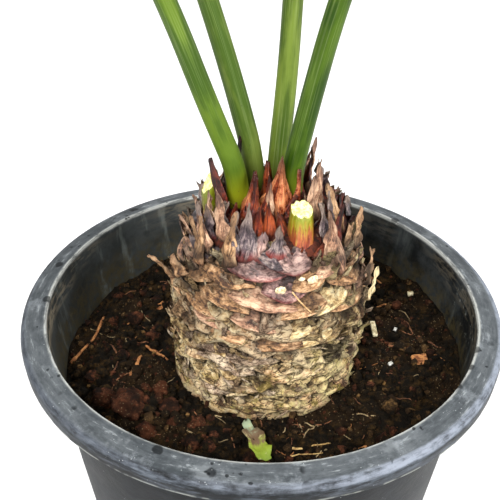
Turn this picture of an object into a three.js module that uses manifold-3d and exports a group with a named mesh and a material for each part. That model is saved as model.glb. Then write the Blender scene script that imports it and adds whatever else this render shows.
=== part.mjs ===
// A potted cycad: a nursery pot filled with soil, a scaly barrel-shaped trunk, the crown of pointed
// scales on top of it, two cut leaf stalks and four long-stalked feather leaves.
// Millimetres, +Z up, origin at the centre of the pot's underside.

import * as THREE from 'three';
import { mergeVertices } from 'three/addons/utils/BufferGeometryUtils.js';
import Module from 'manifold-3d';

const wasm = await Module();
wasm.setup();

// Clearance between pieces that touch
const SEAT_GAP = 0.3;

// Pot
const POT_HEIGHT = 248;
const POT_SIDES = 40;
const POT_WALL = 2.5;
const POT_FLOOR = 3;
const POT_FOOT_RADIUS = 101;
const RIM_INNER_RADIUS = 135.3;
const RIM_OUTER_RADIUS = 151.8;
const RIM_RING_DROP = 3.6;
const RIM_RING_WIDTH = 14.2;
const RIM_THICKNESS = 2.8;
const SHOULDER_DROPS = [5.2, 8];
const SKIRT_DEPTH = 15.7;
const SKIRT_WALL = 2.4;
const DRAIN_HOLES = 6;
const DRAIN_HOLE_RADIUS = 6;
const DRAIN_RING_RADIUS = 84;
const DRAIN_HOLE_SIDES = 8;
const FOOT_CHAMFER = 2.2;

// Soil
const SOIL_DEPTH_BELOW_RIM = 40;
const SOIL_FLAT_RADIUS = 64;
const SOIL_RINGS = [76, 90, 104, 117];
const SOIL_BUMP = 2.4;
const SOIL_LEFT_SLOPE = 0.075;
const SOIL_RIGHT_SLOPE = 0.012;
const SOIL_BACK_SLOPE = 0.02;

// Trunk, from the soil to the crown
const TRUNK_FOOT = new THREE.Vector3(2, -5, POT_HEIGHT - SOIL_DEPTH_BELOW_RIM);
const TRUNK_HEIGHT = 102;
const TRUNK_LEAN = new THREE.Vector2(3.5, 10);
const TRUNK_RADII = [56.5, 55.5, 56.5, 57.5, 58.5, 57, 53.5, 48.5, 45];
const TRUNK_ROWS = 12;
const TRUNK_SCALES_AROUND = 13;
const TRUNK_SCALE_RELIEF = 2.6;
const TRUNK_LIP_PART = 0.35;
const TIP_ROWS = 3;
const TIPS_AROUND = 12;
const TIP_ROW_HEIGHTS = [43, 73];
const TIP_LEANS = [17, 3];
const TIP_SINK = 2.5;
const TIP_LENGTH = 27;
const TIP_WIDTH = 17;
const TIP_THICKNESS = 3.6;

// Crown of pointed scales
const CROWN_PROFILE = [[44.5, 0], [43, 3], [37, 7], [24, 11.5], [0, 13]];
const CROWN_SIDES = 20;
const CROWN_SCALES = 44;
const CROWN_SCALE_LENGTHS = [27, 34];
const CROWN_SCALE_WIDTHS = [19, 12];
const CROWN_SCALE_THICKNESS = 3.2;
const CROWN_SCALE_RADII = [42, 11];
const CROWN_SCALE_LEANS = [14, 3];
const CROWN_SCALE_SINK = 5;
const CROWN_SCALE_CLEARANCE = 3.5;
const CROWN_REACH = 60;
const GOLDEN_ANGLE = Math.PI * (3 - Math.sqrt(5));

// Leaves: stalk first, then the feathered blade
const LEAF_STEP = 5;
const STALK_LENGTH = 350;
const BLADE_LENGTH = 610;
const LEAN_STATIONS = [0, 45, 110, STALK_LENGTH, STALK_LENGTH + BLADE_LENGTH];
const TURN_START = 160;
const TURN_END = 460;
const STALK_FOOT_ABOVE_SOIL = 106;
const STALK_STATIONS = [0, 30, 145, STALK_LENGTH, STALK_LENGTH + BLADE_LENGTH];
const STALK_RADII = [7.1, 6.5, 5.9, 4.9, 1.5];
const STALK_SIDES = 8;
const STALK_STEPS = 12;
const RIB_SIDES = 6;
const RIB_STEPS = 12;
const LEAFLET_PAIRS = 24;
const LEAFLET_LENGTH = 195;
const LEAFLET_WIDTH = 16;
const LEAFLET_FOOT_WIDTH = 5;
const LEAFLET_THICKNESS = 2.4;
const LEAFLET_SHOULDER = 0.36;
const LEAFLET_ANGLES = [76, 66, 34];
const LEAFLET_SPREAD = [[0, 0.3, 0.7, 1], [0.5, 1, 0.95, 0.5]];
const FIRST_LEAFLET = 12;
const LAST_LEAFLET = 4;

// One entry for each leaf: foot on the crown, lean from upright in degrees at each lean station,
// and the compass angle in degrees at the foot and out along the blade.
const LEAVES = [
  { name: 'front_left', foot: [-16, 4.5], lean: [-5, 20.6, 18.6, 33, 104], compass: [-158, -140] },
  { name: 'back_left', foot: [-6.8, 24], lean: [-2.5, 16.1, 19.4, 29, 98], compass: [154, 130] },
  { name: 'back_right', foot: [7.2, 28], lean: [3.2, 13.5, 5.1, 26, 96], compass: [69, 45] },
  { name: 'front_right', foot: [15.4, 9], lean: [-1, 11.9, 13.1, 32, 102], compass: [-37, -45] },
];

// Cut stalks: centre of the foot and of the cut face, heights above the soil
const CUT_STALKS = [
  { name: 'front', foot: [21, -25.2, 106], top: [21.7, -19, 125], radius: 6.6, slant: 0.12 },
  { name: 'back_left', foot: [-29, 6, 105.5], top: [-33.5, 4, 126], radius: 5.6, slant: -0.15 },
];

const COLOURS = {
  pot: { color: 0x2b2f33, roughness: 0.55 },
  soil: { color: 0x2a1d16, roughness: 0.95 },
  trunk: { color: 0x8d7a5c, roughness: 0.9 },
  crown: { color: 0x7a4434, roughness: 0.75 },
  cut: { color: 0xc9c85a, roughness: 0.6 },
  stalk: { color: 0x5d8a35, roughness: 0.45 },
  blade: { color: 0x3f7a2c, roughness: 0.45 },
};

const soilLevel = TRUNK_FOOT.z;
const crownLevel = soilLevel + TRUNK_HEIGHT;
const lerp = THREE.MathUtils.lerp;
const smoothstep = THREE.MathUtils.smoothstep;
const toRadians = THREE.MathUtils.degToRad;

// Value at x of the broken line through the stations
function along(x, stations, values) {
  const last = stations.length - 1;
  if (x <= stations[0]) {
    return values[0];
  }
  for (let i = 1; i <= last; i += 1) {
    if (x <= stations[i]) {
      return lerp(values[i - 1], values[i], (x - stations[i - 1]) / (stations[i] - stations[i - 1]));
    }
  }
  return values[last];
}

// Closed geometry as a solid for joining and cutting, with its faces pointing out
function solidOf(geometry) {
  const bare = geometry.clone();
  bare.deleteAttribute('normal');
  bare.deleteAttribute('uv');
  const merged = mergeVertices(bare, 1e-4);
  const points = merged.attributes.position;
  const triVerts = Uint32Array.from(merged.index.array);
  const a = new THREE.Vector3();
  const b = new THREE.Vector3();
  const c = new THREE.Vector3();
  let volume = 0;
  for (let i = 0; i < triVerts.length; i += 3) {
    a.fromBufferAttribute(points, triVerts[i]);
    b.fromBufferAttribute(points, triVerts[i + 1]);
    c.fromBufferAttribute(points, triVerts[i + 2]);
    volume += a.dot(b.cross(c));
  }
  if (volume < 0) {
    for (let i = 0; i < triVerts.length; i += 3) {
      const kept = triVerts[i + 1];
      triVerts[i + 1] = triVerts[i + 2];
      triVerts[i + 2] = kept;
    }
  }
  const vertProperties = Float32Array.from(points.array);
  return new wasm.Manifold(new wasm.Mesh({ numProp: 3, vertProperties, triVerts }));
}

// The outer body of a joined or cut solid, with loose scraps left out and sealed hollows filled
function largestBody(solid) {
  return solid.decompose().reduce((best, body) => (body.volume() > best.volume() ? body : best));
}

function piece(name, solid, finish) {
  const mesh = solid.getMesh();
  const geometry = new THREE.BufferGeometry();
  geometry.setAttribute('position', new THREE.BufferAttribute(mesh.vertProperties, 3));
  geometry.setIndex(new THREE.BufferAttribute(mesh.triVerts, 1));
  geometry.computeVertexNormals();
  const material = new THREE.MeshStandardMaterial({ ...finish, metalness: 0, flatShading: true });
  const node = new THREE.Mesh(geometry, material);
  node.name = name;
  return node;
}

// Turns a profile of [radius, height] points about +Z
function turned(profile, sides) {
  const points = profile.map(([radius, height]) => new THREE.Vector2(radius, height));
  return new THREE.LatheGeometry(points, sides).rotateX(Math.PI / 2);
}

// Moves every vertex by a function of its ring and its place around, for a lathe of known size
function shapeRings(geometry, ringCount, move) {
  const points = geometry.attributes.position;
  const vertex = new THREE.Vector3();
  for (let i = 0; i < points.count; i += 1) {
    vertex.fromBufferAttribute(points, i);
    move(vertex, i % ringCount, Math.floor(i / ringCount));
    points.setXYZ(i, vertex.x, vertex.y, vertex.z);
  }
  return geometry;
}

function scaleAcross(vertex, factor) {
  vertex.x *= factor;
  vertex.y *= factor;
}

// Inner radius of the pot's wall at a height
function wallRadius(height) {
  const part = (height - POT_FLOOR) / (POT_HEIGHT - POT_FLOOR);
  return lerp(POT_FOOT_RADIUS - POT_WALL, RIM_INNER_RADIUS, part);
}

function potSolid() {
  const top = POT_HEIGHT;
  const skirtFoot = top - SKIRT_DEPTH;
  const ringEdge = RIM_INNER_RADIUS + RIM_RING_WIDTH;
  const [shoulderTop, shoulderFoot] = SHOULDER_DROPS;
  const skirtInner = RIM_OUTER_RADIUS - SKIRT_WALL;
  const bodyEdge = wallRadius(skirtFoot) + POT_WALL;
  const profile = [
    [0, 0],
    [POT_FOOT_RADIUS - FOOT_CHAMFER, 0],
    [POT_FOOT_RADIUS, FOOT_CHAMFER],
    [bodyEdge, skirtFoot],
    [wallRadius(top - RIM_THICKNESS) + POT_WALL, top - RIM_THICKNESS - 1],
    [ringEdge - RIM_THICKNESS, top - RIM_RING_DROP - RIM_THICKNESS],
    [skirtInner, top - shoulderFoot - 1],
    [skirtInner - 0.8, skirtFoot],
    [RIM_OUTER_RADIUS - 0.9, skirtFoot],
    [RIM_OUTER_RADIUS, top - shoulderFoot],
    [RIM_OUTER_RADIUS - 0.6, top - shoulderTop],
    [ringEdge, top - RIM_RING_DROP],
    [RIM_INNER_RADIUS + 1, top],
    [RIM_INNER_RADIUS, top - 0.8],
    [wallRadius(POT_FLOOR), POT_FLOOR],
    [0, POT_FLOOR],
  ];
  let pot = solidOf(turned(profile, POT_SIDES));
  const drill = new THREE.CylinderGeometry(
    DRAIN_HOLE_RADIUS,
    DRAIN_HOLE_RADIUS,
    4 * POT_FLOOR,
    DRAIN_HOLE_SIDES,
  );
  drill.rotateX(Math.PI / 2);
  for (let i = 0; i < DRAIN_HOLES; i += 1) {
    const angle = (i + 0.5) * (2 * Math.PI / DRAIN_HOLES);
    const hole = drill.clone();
    hole.translate(DRAIN_RING_RADIUS * Math.cos(angle), DRAIN_RING_RADIUS * Math.sin(angle), 0);
    pot = pot.subtract(solidOf(hole));
  }
  return pot;
}

// Height of the soil over its flat middle: lower towards the left wall, higher at the back right
function soilRise(x, y) {
  const radius = Math.hypot(x, y);
  const reach = smoothstep(radius, SOIL_FLAT_RADIUS, wallRadius(soilLevel));
  const slope = (x < 0 ? SOIL_LEFT_SLOPE : SOIL_RIGHT_SLOPE) * x + SOIL_BACK_SLOPE * y;
  const waves = Math.sin(0.09 * x + 1) * Math.cos(0.08 * y - 2) + 0.6 * Math.sin(0.17 * x - 0.14 * y);
  return reach * (slope + SOIL_BUMP * waves);
}

function soilSolid() {
  const floor = POT_FLOOR + SEAT_GAP;
  const foot = wallRadius(floor) - SEAT_GAP;
  const rim = wallRadius(soilLevel) - SEAT_GAP;
  const surface = [rim, ...[...SOIL_RINGS].reverse(), SOIL_FLAT_RADIUS, 0];
  const profile = [[0, floor], [foot, floor], ...surface.map((radius) => [radius, soilLevel])];
  const rimRing = 2;
  const lathe = shapeRings(turned(profile, POT_SIDES), profile.length, (vertex, ring) => {
    if (ring < rimRing) {
      return;
    }
    vertex.z += soilRise(vertex.x, vertex.y);
    if (ring === rimRing) {
      scaleAcross(vertex, (wallRadius(vertex.z) - SEAT_GAP) / rim);
    }
  });
  return solidOf(lathe);
}

// Centre of the trunk at a height above the soil
function trunkCentre(height) {
  const part = height / TRUNK_HEIGHT;
  const x = TRUNK_FOOT.x + TRUNK_LEAN.x * part;
  const y = TRUNK_FOOT.y + TRUNK_LEAN.y * part;
  return new THREE.Vector3(x, y, soilLevel + height);
}

function trunkRadius(height) {
  const step = TRUNK_HEIGHT / (TRUNK_RADII.length - 1);
  return along(height, TRUNK_RADII.map((radius, i) => i * step), TRUNK_RADII);
}

// A flat-sided pointed scale that stands on the origin, its face towards +X
function scaleGeometry(length, width, thickness) {
  const cone = new THREE.ConeGeometry(0.5, length, 4).rotateX(Math.PI / 2);
  cone.scale(thickness, width, 1);
  return cone.translate(0, 0, length / 2);
}

// Stands a scale at an angle around the trunk, at a radius and height, leaning outwards
function placedScale(geometry, angle, radius, height, lean) {
  const centre = trunkCentre(height);
  const turn = new THREE.Matrix4().makeRotationZ(angle);
  const tip = new THREE.Matrix4().makeRotationY(lean);
  const place = new THREE.Matrix4().makeTranslation(
    centre.x + radius * Math.cos(angle),
    centre.y + radius * Math.sin(angle),
    centre.z,
  );
  return geometry.clone().applyMatrix4(place.multiply(turn).multiply(tip));
}

function trunkSolid() {
  const foot = SEAT_GAP;
  const pitch = (TRUNK_HEIGHT - foot) / TRUNK_ROWS;
  const profile = [[0, foot], [trunkRadius(foot), foot]];
  for (let row = 0; row < TRUNK_ROWS; row += 1) {
    const lip = foot + (row + TRUNK_LIP_PART) * pitch;
    profile.push([trunkRadius(lip), lip]);
    const seam = foot + (row + 1) * pitch;
    profile.push([trunkRadius(seam) - TRUNK_SCALE_RELIEF / 2, seam]);
  }
  profile.push([0, TRUNK_HEIGHT]);
  const columns = 2 * TRUNK_SCALES_AROUND;
  const lathe = shapeRings(turned(profile, columns), profile.length, (vertex, ring, column) => {
    const isLip = ring >= 2 && ring % 2 === 0 && ring < profile.length - 1;
    if (isLip) {
      const row = (ring - 2) / 2;
      const onScale = (column + row) % 2 === 0;
      const radius = Math.hypot(vertex.x, vertex.y);
      scaleAcross(vertex, 1 + (onScale ? TRUNK_SCALE_RELIEF : -0.3 * TRUNK_SCALE_RELIEF) / radius);
      vertex.z += onScale ? -0.1 * pitch : 0.2 * pitch;
    }
    const centre = trunkCentre(vertex.z);
    vertex.set(vertex.x + centre.x, vertex.y + centre.y, centre.z);
  });
  let trunk = solidOf(lathe);
  const scale = scaleGeometry(TIP_LENGTH, TIP_WIDTH, TIP_THICKNESS);
  for (let row = 0; row < TIP_ROWS; row += 1) {
    const upward = row / (TIP_ROWS - 1);
    const height = lerp(...TIP_ROW_HEIGHTS, upward);
    const radius = trunkRadius(height) - TIP_SINK;
    for (let i = 0; i < TIPS_AROUND; i += 1) {
      const angle = (i + 0.5 * (row % 2) + 0.13 * row) * (2 * Math.PI / TIPS_AROUND);
      const lean = toRadians(lerp(...TIP_LEANS, upward) + 7 * Math.sin(5 * i + 3 * row));
      trunk = trunk.add(solidOf(placedScale(scale, angle, radius, height, lean)));
    }
  }
  const cutLevel = new THREE.BoxGeometry(400, 400, 100);
  cutLevel.translate(0, 0, crownLevel + 50);
  return largestBody(trunk.subtract(solidOf(cutLevel)));
}

// Centre line of a leaf as points one step apart, from the foot to the tip
function leafLine(leaf) {
  const point = new THREE.Vector3(...leaf.foot, soilLevel + STALK_FOOT_ABOVE_SOIL);
  const line = [];
  for (let s = 0; s <= STALK_LENGTH + BLADE_LENGTH; s += LEAF_STEP) {
    const { tangent, across } = leafFrame(leaf, s);
    line.push({ point: point.clone(), tangent, across });
    point.addScaledVector(leafFrame(leaf, s + LEAF_STEP / 2).tangent, LEAF_STEP);
  }
  return line;
}

// Direction of a leaf at a length along it, and the level direction across it
function leafFrame(leaf, s) {
  const lean = toRadians(along(s, LEAN_STATIONS, leaf.lean));
  const compass = toRadians(along(s, [TURN_START, TURN_END], leaf.compass));
  const tangent = new THREE.Vector3(
    Math.sin(lean) * Math.cos(compass),
    Math.sin(lean) * Math.sin(compass),
    Math.cos(lean),
  );
  return { tangent, across: new THREE.Vector3(-Math.sin(compass), Math.cos(compass), 0) };
}

function leafStation(line, s) {
  const i = THREE.MathUtils.clamp(Math.round(s / LEAF_STEP), 0, line.length - 1);
  const { point, tangent, across } = line[i];
  const moved = point.clone().addScaledVector(tangent, s - i * LEAF_STEP);
  return { point: moved, tangent, across };
}

// A tapering limb along a leaf's centre line, grown by a margin for the socket it stands in
function limbGeometry(line, from, to, sides, steps, margin) {
  const limb = new THREE.CylinderGeometry(1, 1, 1, sides, steps);
  const points = limb.attributes.position;
  const vertex = new THREE.Vector3();
  for (let i = 0; i < points.count; i += 1) {
    vertex.fromBufferAttribute(points, i);
    const s = lerp(from, to, vertex.y + 0.5);
    const footMargin = vertex.y < -0.49 ? margin : 0;
    const { point, tangent, across } = leafStation(line, s - footMargin);
    const upper = new THREE.Vector3().crossVectors(tangent, across);
    const radius = along(s, STALK_STATIONS, STALK_RADII) + margin;
    point.addScaledVector(across, radius * vertex.x);
    point.addScaledVector(upper, radius * vertex.z);
    points.setXYZ(i, point.x, point.y, point.z);
  }
  return limb;
}

// A lance-shaped leaflet from the origin along +X, flat on top with a keel below
function leafletGeometry(length, width) {
  const blade = new THREE.ConeGeometry(1, 1, 3, 2);
  const edge = Math.sin(Math.PI / 3);
  const depth = 1 + Math.cos(Math.PI / 3);
  const points = blade.attributes.position;
  for (let i = 0; i < points.count; i += 1) {
    const part = points.getY(i) + 0.5;
    const reach = along(part, [0, 0.5, 1], [0, LEAFLET_SHOULDER, 1]);
    const ringRadius = Math.max(1 - part, 1e-9);
    const half = along(part, [0, 0.5, 1], [LEAFLET_FOOT_WIDTH / 2, width / 2, 0]) / edge;
    const thick = along(part, [0, 0.5, 1], [0.9 * LEAFLET_THICKNESS, LEAFLET_THICKNESS, 0]) / depth;
    const side = half * points.getX(i) / ringRadius;
    const face = -thick * points.getZ(i) / ringRadius;
    points.setXYZ(i, reach * length, side, face);
  }
  return blade;
}

function frondSolid(leaf, line) {
  const start = STALK_LENGTH + SEAT_GAP;
  const end = STALK_LENGTH + BLADE_LENGTH;
  const first = start + FIRST_LEAFLET;
  const last = end - LAST_LEAFLET;
  let frond = solidOf(limbGeometry(line, start, end, RIB_SIDES, RIB_STEPS, 0));
  for (let pair = 0; pair < LEAFLET_PAIRS; pair += 1) {
    const part = pair / (LEAFLET_PAIRS - 1);
    const { point, tangent, across } = leafStation(line, lerp(first, last, part));
    const angle = toRadians(along(part, [0, 0.5, 1], LEAFLET_ANGLES));
    const length = LEAFLET_LENGTH * along(part, ...LEAFLET_SPREAD);
    for (const side of [-1, 1]) {
      const forward = tangent.clone().multiplyScalar(Math.cos(angle));
      forward.addScaledVector(across, side * Math.sin(angle));
      const upper = new THREE.Vector3().crossVectors(tangent, across);
      const sideways = new THREE.Vector3().crossVectors(upper, forward);
      const place = new THREE.Matrix4().makeBasis(forward, sideways, upper).setPosition(point);
      const leaflet = leafletGeometry(length, LEAFLET_WIDTH).applyMatrix4(place);
      frond = frond.add(solidOf(leaflet));
    }
  }
  return frond;
}

// A cut stalk with a slanted top, grown by a margin for its socket
function cutStalkGeometry(stalk, margin) {
  const foot = new THREE.Vector3(stalk.foot[0], stalk.foot[1], soilLevel + stalk.foot[2]);
  const top = new THREE.Vector3(stalk.top[0], stalk.top[1], soilLevel + stalk.top[2]);
  const length = foot.distanceTo(top);
  const radius = stalk.radius + margin;
  const stub = new THREE.CylinderGeometry(0.94 * radius, 1.08 * radius, length + margin, STALK_SIDES);
  stub.rotateX(Math.PI / 2);
  stub.translate(0, 0, (length - margin) / 2);
  const points = stub.attributes.position;
  for (let i = 0; i < points.count; i += 1) {
    const atTop = points.getZ(i) > length / 2;
    points.setZ(i, points.getZ(i) + (atTop ? stalk.slant * points.getX(i) : 0));
  }
  const up = new THREE.Vector3(0, 0, 1);
  const turn = new THREE.Quaternion().setFromUnitVectors(up, top.clone().sub(foot).normalize());
  return stub.applyMatrix4(new THREE.Matrix4().compose(foot, turn, new THREE.Vector3(1, 1, 1)));
}

// Least level distance from a point to the leaf stalks and cut stalks near the crown
function stalkClearance(point, lines) {
  let nearest = Infinity;
  for (const line of lines) {
    for (const station of line.slice(0, CROWN_REACH / LEAF_STEP)) {
      nearest = Math.min(nearest, station.point.distanceTo(point) - STALK_RADII[0]);
    }
  }
  for (const stalk of CUT_STALKS) {
    for (const [x, y, height] of [stalk.foot, stalk.top]) {
      const centre = new THREE.Vector3(x, y, soilLevel + height);
      nearest = Math.min(nearest, centre.distanceTo(point) - stalk.radius);
    }
  }
  return nearest;
}

function crownSolid(lines) {
  const centre = trunkCentre(TRUNK_HEIGHT);
  const profile = [[0, 0], ...CROWN_PROFILE];
  const dome = turned(profile, CROWN_SIDES);
  dome.translate(centre.x, centre.y, crownLevel + SEAT_GAP);
  let crown = solidOf(dome);
  const radii = CROWN_PROFILE.map(([radius]) => -radius);
  const heights = CROWN_PROFILE.map(([, height]) => height);
  for (let i = 0; i < CROWN_SCALES; i += 1) {
    const inward = i / (CROWN_SCALES - 1);
    const length = lerp(...CROWN_SCALE_LENGTHS, inward);
    const width = lerp(...CROWN_SCALE_WIDTHS, inward);
    const scale = scaleGeometry(length, width, CROWN_SCALE_THICKNESS);
    const radius = lerp(...CROWN_SCALE_RADII, inward);
    const angle = i * GOLDEN_ANGLE;
    const lean = toRadians(lerp(...CROWN_SCALE_LEANS, inward) + 5 * Math.sin(7 * i));
    const height = TRUNK_HEIGHT + Math.max(along(-radius, radii, heights) - CROWN_SCALE_SINK, 1);
    const tip = new THREE.Vector3(0, 0, 0.6 * length);
    const placed = placedScale(scale, angle, radius, height, lean);
    tip.applyAxisAngle(new THREE.Vector3(0, 1, 0), lean);
    tip.applyAxisAngle(new THREE.Vector3(0, 0, 1), angle);
    tip.add(trunkCentre(height));
    tip.x += radius * Math.cos(angle);
    tip.y += radius * Math.sin(angle);
    if (stalkClearance(tip, lines) > CROWN_SCALE_CLEARANCE) {
      crown = crown.add(solidOf(placed));
    }
  }
  for (const line of lines) {
    const socket = limbGeometry(line, 0, STALK_LENGTH, STALK_SIDES, STALK_STEPS, SEAT_GAP);
    crown = crown.subtract(solidOf(socket));
  }
  for (const stalk of CUT_STALKS) {
    crown = crown.subtract(solidOf(cutStalkGeometry(stalk, SEAT_GAP)));
  }
  return largestBody(crown);
}

const lines = LEAVES.map(leafLine);
const plant = new THREE.Group();
plant.add(piece('pot', potSolid(), COLOURS.pot));
plant.add(piece('soil', soilSolid(), COLOURS.soil));
plant.add(piece('trunk', trunkSolid(), COLOURS.trunk));
plant.add(piece('crown_scales', crownSolid(lines), COLOURS.crown));
for (const stalk of CUT_STALKS) {
  plant.add(piece(`cut_stalk_${stalk.name}`, solidOf(cutStalkGeometry(stalk, 0)), COLOURS.cut));
}
LEAVES.forEach((leaf, i) => {
  const stalk = limbGeometry(lines[i], 0, STALK_LENGTH, STALK_SIDES, STALK_STEPS, 0);
  plant.add(piece(`leaf_stalk_${leaf.name}`, solidOf(stalk), COLOURS.stalk));
  plant.add(piece(`frond_${leaf.name}`, frondSolid(leaf, lines[i]), COLOURS.blade));
});

export default plant;
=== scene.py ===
"""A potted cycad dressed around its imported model: pot, soil, scaly trunk, crown and four feather leaves."""

import math

import bmesh
import bpy
import numpy as np
from bpy.props import FloatProperty, FloatVectorProperty, IntProperty, PointerProperty
from mathutils import Matrix, Vector, noise


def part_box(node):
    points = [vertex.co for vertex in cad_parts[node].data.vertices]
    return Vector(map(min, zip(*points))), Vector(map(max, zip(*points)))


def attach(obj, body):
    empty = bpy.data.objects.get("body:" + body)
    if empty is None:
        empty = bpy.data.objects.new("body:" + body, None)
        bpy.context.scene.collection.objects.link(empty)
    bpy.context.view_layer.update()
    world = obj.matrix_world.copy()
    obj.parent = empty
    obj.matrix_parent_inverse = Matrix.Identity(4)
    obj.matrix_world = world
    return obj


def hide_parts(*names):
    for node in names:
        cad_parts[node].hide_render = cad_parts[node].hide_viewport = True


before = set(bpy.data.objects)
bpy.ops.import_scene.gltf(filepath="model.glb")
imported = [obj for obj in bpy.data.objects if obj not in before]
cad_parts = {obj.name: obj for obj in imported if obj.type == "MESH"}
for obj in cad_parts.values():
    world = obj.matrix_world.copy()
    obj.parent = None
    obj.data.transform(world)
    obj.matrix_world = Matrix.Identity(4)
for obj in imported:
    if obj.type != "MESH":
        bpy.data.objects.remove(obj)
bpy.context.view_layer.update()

bl_info = {
    "name": "Potted Cycad",
    "version": (1, 0, 0),
    "blender": (4, 5, 0),
    "location": "View3D > Sidebar > Potted Cycad",
    "description": "Builds a potted cycad around its packed model",
    "category": "Object",
}

# Seeds of the random draws
SEEDS = {
    "soil": 11, "litter": 23, "old_bases": 5, "swollen_bases": 8, "flakes": 31, "crown": 17, "fronds": 41,
}

# Pot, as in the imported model
POT_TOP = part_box("pot")[1].z
RIM_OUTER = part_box("pot")[1].x
POT_FLOOR = 0.003
POT_WALL = 0.0025
FOOT_INNER = 0.0985
RIM_INNER = 0.1353
RING_EDGE = 0.1495
SKIRT_FOOT = POT_TOP - 0.0157
SHOULDER = POT_TOP - 0.008
DRAIN_HOLES = 6
DRAIN_RING = 0.084
DRAIN_RADIUS = 0.006

# Soil and trunk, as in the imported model
SOIL_LEVEL = POT_TOP - 0.040
SOIL_FLAT = 0.064
SEAT_GAP = 0.0003
TRUNK_FOOT = np.array((0.002, -0.005, SOIL_LEVEL))
TRUNK_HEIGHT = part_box("trunk")[1].z - SOIL_LEVEL
TRUNK_LEAN = np.array((0.0035, 0.010, TRUNK_HEIGHT))
TRUNK_RADII = (0.0565, 0.0555, 0.0565, 0.0575, 0.0585, 0.057, 0.0535, 0.0485, 0.045)
CROWN_DOME = ((0.0445, 0), (0.043, 0.003), (0.037, 0.007), (0.024, 0.0115), (0, 0.013))

# Azimuth of the side that the camera sees, in degrees
FRONT = -95

# Depth of the trunk's core under its surface, and how close a scale of the crown's rings may come to
# a placed scale and to a stalk
CORE_DEPTH = 0.004
SCALE_CLEARANCE = 0.0075
STALK_CLEARANCE = 0.0085

# Grid around the trunk that hollows are measured on, and the depth that counts as fully sunk, for painted
# shade
HOLLOW_COLUMNS = 240
HOLLOW_ROWS = 96
HOLLOW_ROW = 0.0016
HOLLOW_DEPTH = 0.0043

# Leaves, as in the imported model: lengths along a leaf from its foot
LEAF_STEP = 0.005
STALK_LENGTH = 0.350
BLADE_LENGTH = 0.610
LEAF_LENGTH = STALK_LENGTH + BLADE_LENGTH
LEAN_STATIONS = (0, 0.045, 0.110, STALK_LENGTH, LEAF_LENGTH)
TURN_STATIONS = (0.160, 0.460)
STALK_STATIONS = (0, 0.030, 0.145, STALK_LENGTH, LEAF_LENGTH)
STALK_RADII = (0.0071, 0.0065, 0.0059, 0.0049, 0.0015)
STALK_FOOT = SOIL_LEVEL + 0.106
LEAFLET_ANGLES = ((0, 0.5, 1), (76, 66, 34))
LEAFLET_SPREAD = ((0, 0.3, 0.7, 1), (0.5, 1, 0.95, 0.5))
LEAFLET_OUTLINE = ((0, 0.04, 0.15, 0.4, 0.75, 0.93, 1), (0.3, 0.45, 0.8, 1, 0.85, 0.4, 0.03))
LEAFLET_GREENS = (("173a0c", "2c5616"), ("1e420e", "35601a"), ("15340c", "284c14"), ("244a10", "42681c"))

# Foot on the crown, lean at each lean station and compass angles in degrees; green, light and foot
LEAVES = {
    "front_left": ((-0.016, 0.0045), (-5, 20.6, 18.6, 33, 104), (-158, -140), ("31490a", "52681a", "8a8e10")),
    "back_left": ((-0.0068, 0.024), (-2.5, 16.1, 19.4, 29, 98), (154, 130), ("3c5414", "667630", "4c5618")),
    "back_right": ((0.0072, 0.028), (3.2, 13.5, 5.1, 26, 96), (69, 45), ("34480c", "5f7028", "4a521a")),
    "front_right": ((0.0154, 0.009), (-1, 11.9, 13.1, 32, 102), (-37, -45), ("213a00", "40580c", "7c861e")),
}

# Foot and top of each cut stalk, heights above the soil, its radius, how its cut slopes and how
# much further down it is green
CUT_STALKS = {
    "front": ((0.021, -0.0258, 0.1), (0.0217, -0.0195, 0.1255), 0.0072, (-0.1, 0.5), 0),
    "back_left": ((-0.029, 0.006, 0.1035), (-0.0325, 0.004, 0.1285), 0.0066, (1.0, 0.3), 0.45),
}

BARK_PIECES = (
    "trunk_core", "trunk_old_bases", "trunk_swollen_bases", "trunk_tongues", "trunk_flakes", "crown_wool",
    "crown_spears",
)

# Half width of a scale from its foot to its tip
SPEAR = ((0, 0.15, 0.4, 0.62, 0.85, 1), (0.85, 1, 0.9, 0.56, 0.22, 0.02))
VASE = ((0, 0.12, 0.32, 0.5, 0.68, 0.88, 1), (0.75, 1, 0.92, 0.52, 0.3, 0.16, 0.02))
STUMP = ((0, 0.06, 0.2, 0.45, 0.75, 1), (0.4, 0.8, 1, 0.95, 0.7, 0.38))
FLAKE = ((0, 0.3, 0.7, 1), (0.6, 1, 0.8, 0.3))
TONGUE = ((0, 0.1, 0.3, 0.6, 0.85, 1), (1.1, 0.95, 0.66, 0.46, 0.3, 0.08))

# Dark, middle and light of the body, then foot, tip, roughness and reach of the foot's colour
SCALE_COLOURS = {
    "rose": ("3c261c", "a87c60", "e2ba98", "4e3022", "6e5244", 0.6, 0.06),
    "tan": ("422a1b", "a27850", "deb68c", "6c402c", "8c6c50", 0.72, 0.06),
    "slate": ("171214", "54454a", "b09c94", "86200f", "8c7868", 0.42, 0.14),
    "copper": ("380f07", "8c3518", "dd8f5e", "5a180c", "2c0a06", 0.28, 0.16),
    "rust": ("260804", "64190a", "b4562a", "340a06", "220806", 0.3, 0.22),
    "wine": ("120606", "441410", "8a3a24", "3c0c0a", "140808", 0.4, 0.2),
    "straw": ("77592f", "c9ad7a", "f2e2b4", "8a6a42", "e2cfa0", 0.8, 0.12),
    "plum": ("301d1a", "86645e", "d0ac9e", "84190e", "8d7470", 0.42, 0.2),
}
SCALE_KINDS = list(SCALE_COLOURS)
FRESH_KINDS = ("copper", "rust", "wine")
OLD_BARK = {
    "bark_tan": ("422c1b", "c49c70", "fae0b6"),
    "bark_grey": ("38291d", "b0947a", "ecd4b8"),
    "bark_straw": ("523c24", "ccaa74", "fae6ba"),
}
OLD_BARK_SHARES = (0.45, 0.25, 0.3)

# Rows of the lower trunk's leaf bases: lowest, highest and step in metres
OLD_ROWS = (-0.002, 0.068, 0.0067)

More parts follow.
